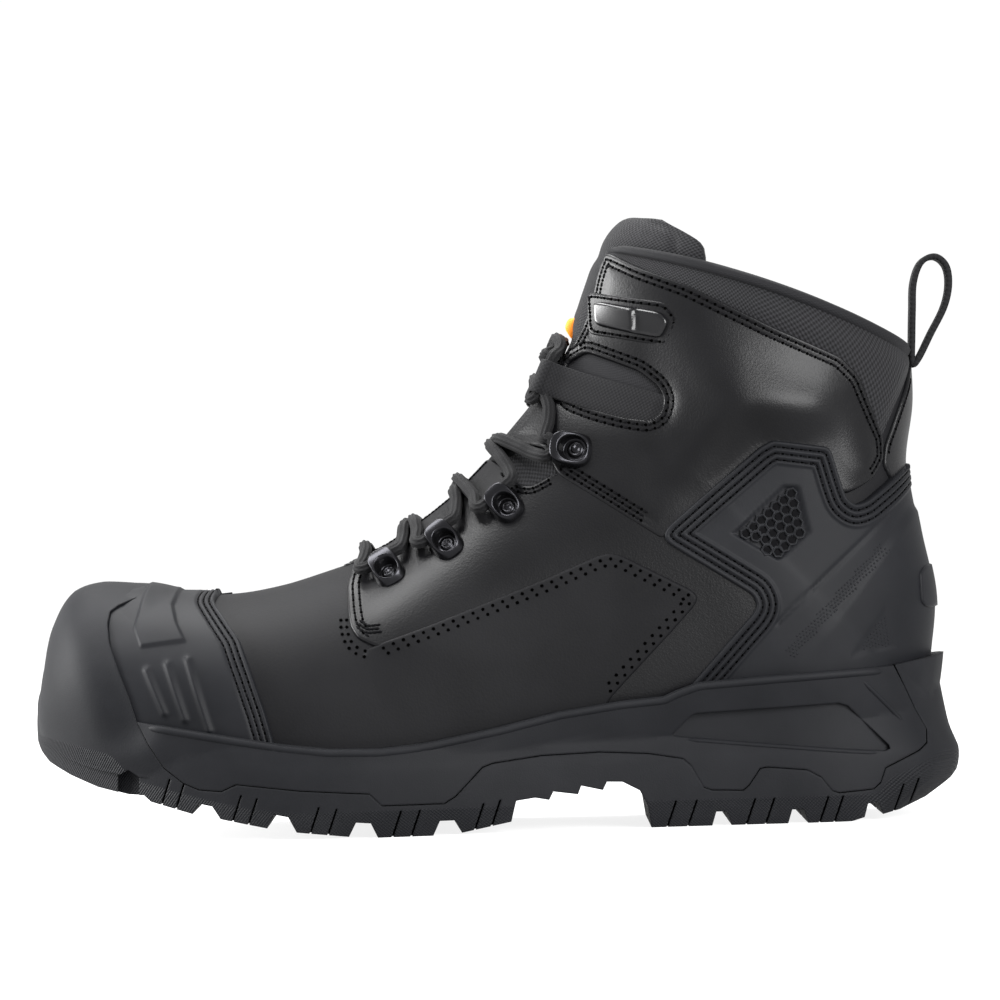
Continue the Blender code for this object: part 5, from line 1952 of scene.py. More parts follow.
        def relief(spots: Spots) -> np.ndarray:
            """Height of the ankle panel: two sewn grooves and the padding behind the oval.

            Args:
                spots: places on the panel.

            Returns:
                Height at each place.
            """
            near = np.minimum(spots.depth, spots.hole)
            high = np.full(near.shape, 1.5)
            gap = to_line(spots.side_view, border)
            fall = to_line(spots.side_view, edge[:7])
            deep, wide = self.ankle_groove
            for at in self.ankle_rows:
                high -= deep * trench(near, at, wide) * ease(4.0, 8.0, gap)
            pad = ease(3.0, 28.0, fall) * ease(0.0, 6.0, near) * ease(0.0, 17.0, gap)
            high = high + 0.25 * ease(4.4, 8.0, near)
            return high + self.ankle_pad * pad * ease(52.0, 86.0, spots.side_view[:, 0])

        def swell(spots: Spots) -> np.ndarray:
            """Height of the cloth behind the oval."""
            return 0.1 + 0.4 * ease(0.0, 7.0, spots.depth)

        panel = Panel("ankle_leather" + side.ending, "smooth", throat + edge, 1.5, 0.2,
                      rings=(1.6, 1.9, 2.4, 2.9, 3.3, 3.7, 4.2, 4.9), soften=1.2, hole=oval, pitch=2.4,
                      profile=relief)
        dress(panel.build(side), "panel_leather", "ankle_panel" + side.ending)
        self.sew(panel, side, self.ankle_rows, count - 1.2, count + 8.0)
        self.sew(panel, side, (1.7, 3.3, 4.9), count + 16.2, count + 17.9)
        self.sew(panel, side, (1.8, 3.4), 4.8, count - 1.4)
        self.sew(panel, side, self.ankle_rows, hole=True)
        wider = [((x - 42.0) * 1.1 + 42.0, (z - 145.5) * 1.12 + 145.5) for x, z in oval]
        cloth = Panel("oval_cloth" + side.ending, "lining", wider, 0.6, 0.1, profile=swell)
        dress(cloth.build(side), "webbing_cloth")
        notch = [(4.0, 122.0), (7.0, 111.0), (14.0, 110.0), (24.0, 114.0), (24.0, 121.0), (17.0, 127.0)]
        mesh = Panel("notch_mesh" + side.ending, "mesh", notch, 0.5, 0.05)
        dress(mesh.build(side), "tongue_cloth")
        self.plate(side)

    def plate(self, side: Side) -> None:
        """Top lace plate: a glossy block and a lower pad behind it, on a sewn patch.

        Args:
            side: side of the foot.
        """
        outline = [(38.6, 173.8), (58.6, 169.5), (61.2, 166.1), (58.4, 160.6), (38.2, 165.2)]
        patch = [(35.4, 177.0), (60.4, 172.4), (64.6, 166.4), (60.6, 157.8), (35.0, 162.6)]
        block = [(38.0, 175.0), (51.0, 172.0), (50.6, 160.6), (37.6, 164.0)]

        def relief(spots: Spots) -> np.ndarray:
            """Height of the plate: a low pad with a block on its front."""
            return 1.1 + 1.7 * raised(spots.side_view, block, 0.5)

        under = Panel("plate_patch" + side.ending, "smooth", patch, 0.5, 1.75, soften=1.6)
        dress(under.build(side), "panel_leather")
        self.sew(under, side, (1.3,))
        panel = Panel("lace_plate_moulded" + side.ending, "plate", outline, 2.3, 2.2, soften=1.4,
                      round_edge=1.0, pitch=0.9, profile=relief)
        dress(panel.build(side), "holder_metal", "lace_plate" + side.ending)

    def back_strip(self) -> None:
        """Leather strip up the back of the heel."""
        edge = [
            (141.3, 152.0), (139.4, 144.0), (137.0, 138.0), (134.0, 130.5), (131.0, 123.6), (130.0, 117.0),
            (134.0, 110.0), (140.2, 108.0)]
        panel = Panel("back_strip", "smooth", edge, 1.0, 0.25, Seam.BACK, (-1.0, 5.3), pitch=2.0)
        dress(panel.build(*Side), "panel_leather")
        for side in Side:
            self.sew(panel, side, (1.5,), 0.6, 4.6)

    def dress(self) -> None:
        """Builds every overlay, then its stitches and the dark discs of painted shade at its holes and cells.
        """
        self.toe_cap()
        self.counter()
        for side in Side:
            self.eyestay(side)
            self.wing(side)
            self.ankle(side)
        self.back_strip()
        for small in (self.stitch, self.needle, self.punched):
            dress(small.build(), "upper_leather")
        # The honeycomb cells' dark discs are painted shade.
        for small in (self.comb, self.cell_shade_discs, self.dots):
            dress(small.build(), "overlay_rubber")


@dataclass
class Sole:
    """Outsole and midsole, cut from one body as in the part but finer, with slits in the lugs."""

    around: int = 184
    spring: float = 17.5
    across: float = 90.0
    seam: float = 0.15
    recess: float = 2.0
    channel: float = 3.0
    slit: tuple[float, float] = (0.65, 8.6)
    slit_deep: float = 8.0
    chamfer: float = 2.4
    bead_step: float = 1.4
    toe_notch: Line = ((-125.2, 10.0), (-118.0, 10.0), (-117.4, 21.5), (-121.0, 24.0), (-124.6, 22.0))
    ridge: Line = ((119.5, 47.6), (135.9, 30.7))
    outline: Line = (
        (-155.0, 9.0), (-150.5, -12.0), (-138.0, -31.0), (-116.0, -45.5), (-86.0, -54.0), (-55.0, -56.0),
        (-25.0, -53.0), (10.0, -46.0), (45.0, -41.0), (80.0, -39.5), (112.0, -38.5), (138.0, -29.0),
        (151.0, -13.0), (155.0, 2.0), (151.0, 17.0), (138.0, 33.0), (112.0, 42.0), (80.0, 41.5),
        (45.0, 38.0), (10.0, 40.0), (-25.0, 48.5), (-55.0, 55.0), (-76.0, 56.0), (-102.0, 54.0),
        (-127.0, 47.0), (-144.0, 35.0), (-152.5, 22.0))
    levels: Sequence[tuple[float, float, float]] = (
        (-6.0, 4.0, 18.0), (0.5, 2.0, 12.0), (5.6, 1.0, 7.0), (10.8, 0.4, 2.6), (16.0, 0.1, 0.4),
        (21.3, 0.0, 0.0), (24.5, 0.2, 0.8), (29.5, 0.6, 2.4), (36.0, 2.6, 1.8), (44.0, 4.6, 1.2))
    bumper_lift: Line = ((0.0, 6.9), (2.0, 6.2), (3.0, 6.9), (3.8, 7.8), (4.4, 6.9), (5.0, 5.3), (5.6, 4.4))
    tread: Line = (
        (-158.0, 36.0), (-154.4, 32.2), (-152.4, 29.2), (-149.2, 26.0), (-141.5, 22.1), (-131.7, 18.2),
        (-121.3, 15.7), (-116.0, 15.5), (-113.8, 13.4), (-100.0, 9.2), (-97.8, 12.6), (-93.4, 11.6),
        (-90.8, 7.4), (-75.6, 4.1), (-73.4, 8.6), (-68.6, 7.6), (-66.0, 2.5), (-49.0, 0.6), (-46.6, 5.2),
        (-41.8, 4.8), (-39.6, 0.0), (-21.6, 0.0), (-19.3, 4.8), (-14.6, 4.8), (-12.2, 0.6), (4.0, 3.6),
        (5.8, 10.4), (12.0, 11.2), (16.6, 10.3), (18.0, 13.0), (26.1, 11.8), (27.2, 14.6), (34.3, 12.9),
        (35.7, 15.6), (40.8, 15.4), (46.4, 12.4), (48.9, 7.5), (50.0, 0.0), (70.0, 0.0), (71.4, 4.6),
        (75.0, 4.6), (76.4, 0.0), (95.0, 0.0), (96.4, 4.6), (100.2, 4.6), (101.6, 0.0), (116.0, 0.0),
        (120.4, 1.2), (121.6, 5.6), (125.0, 6.0), (126.8, 1.8), (133.0, 3.0), (142.2, 6.4), (151.3, 12.2),
        (158.0, 19.0))
    lugs: Sequence[tuple[float, float, float, float]] = (
        (-113.8, 13.4, -100.0, 9.2), (-90.8, 7.4, -75.6, 4.1), (-66.0, 2.5, -49.0, 0.6),
        (-39.6, 0.0, -21.6, 0.0), (-12.2, 0.6, 4.0, 3.6), (50.0, 0.0, 70.0, 0.0), (76.4, 0.0, 95.0, 0.0),
        (101.6, 0.0, 116.0, 0.0), (126.8, 1.8, 142.2, 6.4))
    groove: Line = (
        (-130.0, 12.0), (-100.0, 4.0), (-60.0, -4.0), (130.0, -4.0), (142.0, 4.0), (140.0, 12.9),
        (118.0, 5.8), (49.0, 5.8), (44.0, 8.7), (4.0, 8.7), (0.0, 5.8), (-50.0, 5.8), (-76.0, 10.2),
        (-100.0, 15.4), (-126.0, 23.7))
    split: Line = (
        (-117.8, 39.6), (-114.2, 32.3), (-109.4, 24.6), (-103.0, 19.4), (-97.8, 17.1), (-90.5, 16.4),
        (-85.3, 18.6), (-64.6, 16.0), (-42.1, 14.4), (-38.1, 10.4), (-17.8, 10.4), (-14.1, 12.6),
        (-5.0, 21.8), (-1.5, 23.0), (14.4, 24.9), (33.7, 25.4), (49.4, 24.4), (60.8, 22.4), (63.3, 20.2),
        (67.4, 12.8), (70.0, 11.8), (80.4, 11.4), (82.4, 13.1), (86.1, 18.4), (88.5, 18.8), (101.6, 17.5),
        (106.1, 15.0), (109.7, 10.4), (112.0, 9.6), (123.5, 10.4), (125.9, 12.4), (127.7, 17.2),
        (139.5, 22.4), (142.3, 24.7), (142.5, 29.2), (138.9, 35.7), (135.3, 43.4), (131.6, 50.8))
    rim: Line = (
        (-117.8, 39.6), (-93.6, 35.4), (-74.1, 31.9), (-54.5, 29.4), (-38.2, 29.0), (-21.8, 30.5),
        (1.2, 34.7), (21.0, 39.1), (40.7, 41.8), (55.4, 43.0), (60.4, 45.2), (67.0, 47.3), (93.2, 48.9),
        (109.5, 49.7), (131.6, 50.8))
    bumper: Line = (
        (-117.8, 39.6), (-119.8, 47.4), (-123.0, 55.8), (-126.4, 65.8), (-127.2, 71.7), (-126.6, 75.6),
        (-124.1, 77.5), (-118.5, 79.8), (-116.0, 82.2), (-113.0, 84.0))
    frame_hollow: Line = (
        (57.5, 30.2), (59.0, 31.8), (64.0, 36.6), (66.0, 37.3), (112.6, 39.2), (115.6, 38.2), (129.2, 24.6),
        (129.4, 23.4), (127.7, 22.8), (115.7, 23.8), (86.0, 26.8), (60.0, 29.6))

    def solid(self, name: str, points: Any, faces: Any) -> bpy.types.Object:
        """A closed body for the cutting.

        Args:
            name: its name.
            points: points in millimetres.
            faces: corners of each face.

        Returns:
            The body.
        """
        mesh = bpy.data.meshes.new(name)
        mesh.from_pydata((np.asarray(points, float) * MM).tolist(), [], [tuple(map(int, f)) for f in faces])
        clean(mesh, EQUAL, True, True)
        return new_object(name, mesh)

    def combine(self, thing: bpy.types.Object, other: bpy.types.Object, operation: str) -> bpy.types.Object:
        """Boolean of two bodies, kept in the first; the second is used up.

        Args:
            thing: the first body.
            other: the second.
            operation: UNION, INTERSECT or DIFFERENCE.

        Returns:
            The first body.
        """
        step = thing.modifiers.new("shape", "BOOLEAN")
        step.operation, step.solver, step.object = operation, "EXACT", other
        graph = bpy.context.evaluated_depsgraph_get()
        mesh = bpy.data.meshes.new_from_object(thing.evaluated_get(graph))
        thing.modifiers.remove(step)
        thing.data = mesh
        bpy.data.objects.remove(other)
        return thing

    def form(self, lift: Any, rows: Any, levels: int, drop: float) -> bpy.types.Object:
        """Closed body of the last.

        Args:
            lift: growth in millimetres, a number or a function of station and levels.
            rows: stations.
            levels: number of levels on each side.
            drop: how far the underside is lowered.

        Returns:
            The body.
        """
        rings = []
        for s in rows:
            heights = np.linspace(0.0, 1.0, levels)
            grown = lift(s, heights) if callable(lift) else np.full(levels, lift)
            left, right = (LAST.skin(np.full(levels, s), heights, side, grown) for side in Side)
            down = np.array((0.0, 0.0, drop if s < FOOT_END else 0.0))
            rings.append(np.vstack((left[:1] - down, left, right[-2::-1], right[:1] - down)))
        width = len(rings[0])
        faces = quads(len(rings), width, True)
        faces.append(tuple((len(rings) - 1) * width + i for i in range(width)))
        return self.solid("form", np.vstack(rings), faces)

    def prisms(self, *bars: tuple[Line, float, float]) -> bpy.types.Object:
        """Side-view outlines, each drawn out between two places across the boot.

        Args:
            bars: for each its outline and the two places.

        Returns:
            The body.
        """
        points, faces = [], []
        for outline, low, high in bars:
            base, count = len(points), len(outline)
            points += [(x, low, z) for x, z in outline] + [(x, high, z) for x, z in outline]
            shape = [tuple(range(count)), tuple(range(2 * count - 1, count - 1, -1))]
            shape += [(i, i + count, (i + 1) % count + count, (i + 1) % count) for i in range(count)]
            faces += [tuple(base + i for i in f) for f in shape]
        return self.solid("prism", points, faces)

    def prism(self, outline: Line) -> bpy.types.Object:
        """Side-view outline drawn out across the whole boot."""
        return self.prisms((outline, -self.across, self.across))

    def walls(self, x: float) -> tuple[float, float]:
        """Where the outer and the inner wall stand at a place along the boot.

        Args:
            x: the place.

        Returns:
            The two walls' y.
        """
        ring = np.asarray(self.outline)
        outer, inner = ring[:14], np.vstack((ring[13:], ring[:1]))[::-1]
        return float(np.interp(x, *outer.T)), float(np.interp(x, *inner.T))

    def sunk(self, thing: bpy.types.Object, outline: Line, depth: float) -> bpy.types.Object:
        """A body with a side-view outline sunk into its wall.

        Args:
            thing: the body.
            outline: what is sunk.
            depth: millimetres.

        Returns:
            The body.
        """
        points, out = self.edge()
        inner, count = points - out * depth, len(points)
        rings = [np.column_stack((inner, np.full(count, z))) for z in (-5.0, 60.0)]
        keep = self.solid("keep", np.vstack(rings), quads(2, count, True)
                          + [tuple(range(count)), tuple(range(2 * count - 1, count - 1, -1))])
        return self.combine(thing, self.combine(self.prism(outline), keep, "DIFFERENCE"), "DIFFERENCE")

    def beads(self, thing: bpy.types.Object,
              lines: Sequence[tuple[Line, float, float]]) -> tuple[np.ndarray, list]:
        """Round beads on a body's wall, on both sides.

        Args:
            thing: the body.
            lines: for each bead its side-view line, its radius and how far it stands out.

        Returns:
            Points and faces.
        """
        mesh = thing.data
        tree = BVHTree.FromPolygons([v.co for v in mesh.vertices], [tuple(f.vertices) for f in mesh.polygons])
        turn = np.arange(8) / 8 * 2 * math.pi
        points, faces = [], []
        for line, radius, out in lines:
            corners = np.asarray(line, float)
            reach = travel(corners)
            at = np.linspace(0.0, reach[-1], int(reach[-1] / self.bead_step) + 2)
            for side in Side:
                ahead = Vector((0.0, -side.value, 0.0))
                hits = [tree.ray_cast(Vector((x, side.value * 200.0, z)) * MM, ahead)
                        for x, z in along_line(corners, reach, at)]
                spots = np.array([np.array(h[0]) / MM for h in hits if h[0] is not None])
                off = np.array([np.array(h[1]) for h in hits if h[0] is not None])
                way = unit(np.gradient(spots, axis=0))
                off = unit(off - way * np.sum(off * way, axis=1)[:, None])
                aside = np.cross(way, off)
                count = np.arange(len(spots))
                size = radius * ease(-1.0, 4.0, np.minimum(count, count[::-1]))
                middle = spots + off * (out - radius)
                wheel = (np.cos(turn)[None, :, None] * off[:, None]
                         + np.sin(turn)[None, :, None] * aside[:, None])
                rings = middle[:, None] + size[:, None, None] * wheel
                base = sum(len(p) for p in points)
                points.append(rings.reshape(-1, 3))
                last = (len(spots) - 1) * 8
                shape = quads(len(spots), 8, True) + [tuple(range(8)), tuple(last + i for i in range(8))]
                faces += [tuple(base + i for i in f) for f in shape]
        return np.vstack(points), faces

    def edge(self) -> tuple[np.ndarray, np.ndarray]:
        """The sole's outline from above, with the way out at each point.

        Returns:
            Points and directions.
        """
        ring = np.asarray(tuple(self.outline) + tuple(self.outline[:3]))
        place = np.arange(self.around) / self.around * len(self.outline) + 1.0
        ring = np.vstack((ring[-4:-3], ring))
        points = spline(ring, place)
        way = spline(ring, place + 0.05) - spline(ring, place - 0.05)
        out = unit(np.stack((way[:, 1], -way[:, 0]), 1))
        return points, out * np.sign(np.sum(out * (points - points.mean(0))))

    def block(self) -> bpy.types.Object:
        """The sole's full body inside its outer wall.

        Returns:
            The body.
        """
        points, out = self.edge()
        rise = self.spring * ease(-60.0, -170.0, points[:, 0])
        heel = ease(118.0, 152.0, points[:, 0])
        rings = [np.column_stack((points - out * (inset + rear * heel)[:, None], level + rise))
                 for level, inset, rear in spline(self.levels, np.linspace(0.0, len(self.levels) - 1.0, 25))]
        faces = quads(len(rings), len(points), True)
        last = (len(rings) - 1) * len(points)
        faces += [tuple(range(len(points) - 1, -1, -1)), tuple(last + i for i in range(len(points)))]
        return self.solid("block", np.vstack(rings), faces)

    def skin(self, s: float, v: np.ndarray) -> np.ndarray:
        """How far the sole's wall stands off the upper: thick below, thinner up over the toe.

        Args:
            s: station.
            v: levels there.

        Returns:
            Millimetres at each level.
        """
        toe = 1.0 - ease(3.0, 5.5, s)
        side = 5.0 + 1.9 * toe + 1.3 * ease(11.0, 14.5, s)
        stations, lifts = zip(*self.bumper_lift)
        ridge = np.interp(s, stations, lifts)
        gap = to_line(LAST.bare(np.full(v.shape, s), v, Side.OUTER)[:, ::2], self.bumper)
        thin = (self.chamfer - 1.0 * ease(0.8, 1.0, v)) * ease(11.0, 0.5, gap) * (1.0 - ease(6.0, 6.5, s))
        return side + (ridge - side) * ease(0.5, 0.92, v) * (1.0 - ease(6.0, 7.0, s)) - thin

    def body(self) -> bpy.types.Object:
        """Block and the wall that climbs the toe and the heel, as one body.

        Returns:
            The body.
        """
        rows = np.concatenate((np.linspace(0.0, 6.0, 61)[:-1], np.linspace(6.0, 13.0, 15)[:-1],
                               np.linspace(13.0, 18.0, 41)))
        return self.combine(self.block(), self.form(self.skin, rows, 26, 1.0), "UNION")

    def hollow(self) -> bpy.types.Object:
        """The room that the upper takes.

        Returns:
            The body.
        """
        rows = np.concatenate((np.linspace(0.0, 6.0, 49)[:-1], np.linspace(6.0, 13.0, 36)[:-1],
                               np.linspace(13.0, 18.0, 33)[:-1], np.linspace(18.0, 22.0, 5)))
        return self.form(CLEAR, rows, 24, CLEAR)

    def outsole(self) -> bpy.types.Object:
        """Outsole with lugs, arch, toe bumper and heel wrap.

        Returns:
            The piece.
        """
        lower = [(x + self.seam, z - self.seam) for x, z in self.split][::-1][1:]
        upper = [(x - self.seam, z) for x, z in self.bumper][1:]
        outline = (list(self.tread) + [(160.0, 55.0), (151.0, 54.0), (131.9, 51.0)] + lower + upper
                   + [(-112.0, 95.0), (-170.0, 95.0), (-170.0, 36.0)])
        sole = self.combine(self.body(), self.prism(outline), "INTERSECT")
        sole = self.combine(sole, self.hollow(), "DIFFERENCE")
        middle = MID_Y + 1.0
        channel = self.prisms((self.groove, middle - self.channel, middle + self.channel))
        sole = self.combine(sole, channel, "DIFFERENCE")
        wide, tall = self.slit
        bars = []
        for ax, az, bx, bz in self.lugs:
            for share in (0.26, 0.6):
                x, z = ax + (bx - ax) * share, az + (bz - az) * share
                lean = 0.36 * tall
                slit = [(x - wide / 2 - 1.1, z - 3.0), (x + wide / 2 - 1.1, z - 3.0),
                        (x + wide / 2 + lean, z + tall), (x - wide / 2 + lean, z + tall)]
                outer, inner = self.walls(x)
                bars += [(slit, -self.across, outer + self.slit_deep),
                         (slit, inner - self.slit_deep, self.across)]
        sole = self.combine(sole, self.prisms(*bars), "DIFFERENCE")
        sole = self.sunk(sole, self.toe_notch, 3.4)
        return self.finish(sole, "outsole_moulded", "outsole")

    def midsole(self) -> bpy.types.Object:
        """Cup midsole with the hollow in its heel frame.

        Returns:
            The piece.
        """
        outline = [(x, z + self.seam) for x, z in self.split][1:-1] + list(self.rim[::-1])
        shift = [self.seam if x < -90.0 else -self.seam if x > 128.0 else 0.0 for x, _ in outline]
        outline = [(x + by, z) for (x, z), by in zip(outline, shift)]
        cup = self.combine(self.body(), self.prism(outline), "INTERSECT")
        cup = self.combine(cup, self.hollow(), "DIFFERENCE")
        cup = self.sunk(cup, self.frame_hollow, self.recess)
        return self.finish(cup, "midsole_cup", "midsole")

    def finish(self, thing: bpy.types.Object, name: str, finish: str) -> bpy.types.Object:
        """Names, smooths and paints a cut body.

        Args:
            thing: the body.
            name: name of the piece.
            finish: name of its finish.

        Returns:
            The piece.
        """
        thing.name = thing.data.name = name
        thing.data.materials.clear()
        thing.data.materials.append(paint(finish))
        thing.data.polygons.foreach_set("material_index", np.zeros(len(thing.data.polygons), np.int32))
        thing.data.shade_smooth()
        thing.data.set_sharp_from_angle(angle=math.radians(30.0))
        return thing

    def dress(self) -> None:
        """Builds both pieces."""
        dress(self.outsole(), "outsole_rubber", "outsole")
        cup = dress(self.midsole(), "midsole_foam", "midsole")
        rim = [(-119.0, 39.4), (-116.4, 38.2)] + [(x, z - 1.4) for x, z in self.rim[1:-1]] + [(130.6, 49.3)]
        lip = [(x, z - 0.7) for x, z in self.frame_hollow[-1:-5:-1]]
        points, faces = self.beads(cup, ((rim, 1.5, 0.6), (self.ridge, 1.0, 0.5), (lip, 0.8, 0.35)))
        dress(turned_out(make("midsole_beads", points, faces, ("midsole",))), "midsole_foam")


@dataclass
class Stand:
    """Frame on the skin: a place, along the throat, towards the throat and outward."""

    origin: np.ndarray
    along: np.ndarray
    inward: np.ndarray
    out: np.ndarray

    @classmethod
    def at(cls, x: float, z: float, side: Side, lift: float, turn: float) -> "Stand":
        """Frame at a side-view place, turned by degrees.

        Args:
            x: place along the boot.
            z: height.
            side: side of the foot.
            lift: millimetres over the skin.
            turn: degrees.

        Returns:
            The frame.
        """
        s, v = LAST.place([(x, z)])[0]
        out = LAST.normal(s, v, side)
        along = LAST.bare(s + 0.05, v, side) - LAST.bare(s - 0.05, v, side)
        along = unit(along - out * np.dot(along, out))
        inward = np.cross(along, out)
        if inward[1] * side.value > 0.0:
            inward = -inward
        c, d = math.cos(math.radians(turn)), math.sin(math.radians(turn))
        return cls(LAST.skin(s, v, side, lift), along * c + inward * d, inward * c - along * d, out)

    def spot(self, u: Any, w: Any, n: Any) -> np.ndarray:
        """Point u along, w towards the throat and n outward."""
        u, w, n = np.broadcast_arrays(np.asarray(u, float), np.asarray(w, float), np.asarray(n, float))
        return self.origin + u[..., None] * self.along + w[..., None] * self.inward + n[..., None] * self.out


@dataclass
class Hardware:
    """Riveted lace loops, ankle hooks and webbing loops."""

    places: Sequence[tuple[str, float, float, float, float, float]] = (
        ("loop_1", -34.0, 85.4, 10.7, 7.0, 0.0), ("loop_2", -14.8, 94.6, 10.7, 7.0, 0.0),
        ("loop_3", 5.2, 106.8, 10.7, 7.0, 0.0), ("hook", 27.0, 124.2, 12.6, 8.0, 40.0),
        ("webbing", 24.0, 146.4, 11.5, 48.0, 14.0))
    lift: float = 1.8
    tube: float = 2.75
    tube_up: float = 3.0
    tube_shift: float = 3.4
    brow: float = 6.2
    slope: tuple[float, float] = (2.0, 6.1)
    cup: tuple[float, float] = (3.5, 3.7)
    cup_at: float = -2.2
    rivet: float = 2.4
    rings: int = 46
    turns: int = 88

    def stand(self, row: int, side: Side) -> Stand:
        """Frame of a holder."""
        _, x, z, _, _, turn = self.places[row]
        return Stand.at(x, z, side, self.lift, turn)

    def relief(self, u: np.ndarray, w: np.ndarray, share: np.ndarray, grow: float) -> np.ndarray:
        """Height of a cast loop: a sloped face with a cup, a ringed rivet in it and a rounded rim.

        Args:
            u: place along the throat.
            w: place towards it.
            share: 0 in the middle, 1 at the rim.
            grow: size against the first loop.

        Returns:
            Height at each place.
        """
        low, high = self.slope
        top = low + (high - low) * ease(-7.0, 4.5, w)
        away = np.hypot(u / self.cup[0], (w - self.cup_at) / self.cup[1]) / grow
        near = np.hypot(u, w - self.cup_at + 0.4) / grow
        head = 1.3 * np.sqrt(np.maximum(1.0 - (near / self.rivet) ** 2, 0.0))
        head = head - 0.35 * np.exp(-((near - 1.35) / 0.25) ** 2) + 0.2 * np.exp(-(near / 0.4) ** 2)
        high = top + (0.9 + head - top) * ease(1.1, 0.88, away)
        soft = np.sqrt(np.maximum(1.0 - ease(0.74, 1.0, share) ** 2, 0.0))
        return high * soft - 0.5 * (1.0 - soft)

    def loop(self, row: int, side: Side) -> bpy.types.Object:
        """One riveted loop as a relief on the panel.

        Args:
            row: number of the holder.
            side: side of the foot.

        Returns:
            The piece.
        """
        name, _, _, length, tail, _ = self.places[row]
        stand = self.stand(row, side)
        low, high, grow = -tail, self.brow, length / self.places[0][3]
        share, turn = np.meshgrid(np.linspace(0.0, 1.0, self.rings),
                                  np.arange(self.turns) / self.turns * 2 * math.pi, indexing="ij")
        c, d = np.cos(turn), np.sin(turn)
        u = share * length / 2 * np.sign(c) * np.abs(c) ** 0.72
        w = (low + high) / 2 + share * (high - low) / 2 * np.sign(d) * np.abs(d) ** 0.72
        points = stand.spot(u, w, self.relief(u, w, share, grow)).reshape(-1, 3)
        faces = quads(self.rings, self.turns, True)
        thing = make(name + "_cast" + side.ending, points, faces, ("metal",), weld=True)
        return turned_up(thing, stand.out)

    def webbing(self, row: int, side: Side) -> bpy.types.Object:
        """Webbing loop: a band sewn to the panel, round the lace and back.

        Args:
            row: number of the holder.
            side: side of the foot.

        Returns:
            The piece.
        """
        name, _, _, length, tail, _ = self.places[row]
        stand, outer = self.stand(row, side), self.stand(row, Side.OUTER)
        turn = np.radians(np.linspace(-140.0, 150.0, 26))
        ring = np.column_stack((self.tube_shift + self.tube * np.cos(turn),
                                self.tube_up + self.tube * np.sin(turn)))
        low = [(-tail, -1.0), (-tail * 0.7, -0.95), (-tail * 0.4, -0.8), (-tail * 0.16, 0.0)]
        path = np.vstack((low, ring, [(-3.6, 1.6), (-tail * 0.28, 0.0), (-tail * 0.6, -0.55), (-tail, -0.7)]))
        path = spline(path, np.linspace(0.0, len(path) - 1.0, 90))
        way = unit(np.gradient(path, axis=0))
        off = np.stack((-way[:, 1], way[:, 0]), 1) * 0.45
        reach = travel(path)
        half = length / 2
        ring_u = np.array((-half, -half + 0.3, -half / 3, half / 3, half - 0.3, half))
        points, cloth = [], []
        for spot, shift, at in zip(path, off, reach):
            for u, sign in [(u, 1.0) for u in ring_u] + [(u, -1.0) for u in ring_u[::-1]]:
                thin = 0.4 if abs(u) == half else 1.0
                w, n = spot + shift * sign * thin
                x, _, z = outer.spot(u, w, 0.0)
                s, v = LAST.place([(x, z)])[0]
                share = float(ease(0.5, -5.0, w))
                sewn = LAST.skin(s, v, side, self.lift + n)
                points.append(stand.spot(u, w, n) * (1.0 - share) + sewn * share)
                cloth.append((at, u))
        width = 2 * len(ring_u)
        faces = quads(len(path), width, True)
        faces += [tuple(range(width)), tuple((len(path) - 1) * width + i for i in range(width))]
        thing = make(name + "_band" + side.ending, np.array(points), faces, ("webbing",), cloth=cloth)
        return turned_out(thing)

    def dress(self) -> None:
        """Builds the holders of both sides."""
        for side in Side:
            for row, (name, *_) in enumerate(self.places):
                if name == "webbing":
                    band = dress(self.webbing(row, side), "webbing_cloth", name + side.ending)
                else:
                    dress(self.loop(row, side), "holder_metal", name + side.ending)


def turned_up(thing: bpy.types.Object, out: np.ndarray) -> bpy.types.Object:
    """An open relief with its faces turned to the given side.

    Args:
        thing: the piece.
        out: the side, as a direction.

    Returns:
        The piece.
    """
    mesh = thing.data
    facing = sum(float(np.dot(np.array(p.normal), out)) * p.area for p in mesh.polygons)
    if facing < 0.0:
        mesh.flip_normals()
    return thing


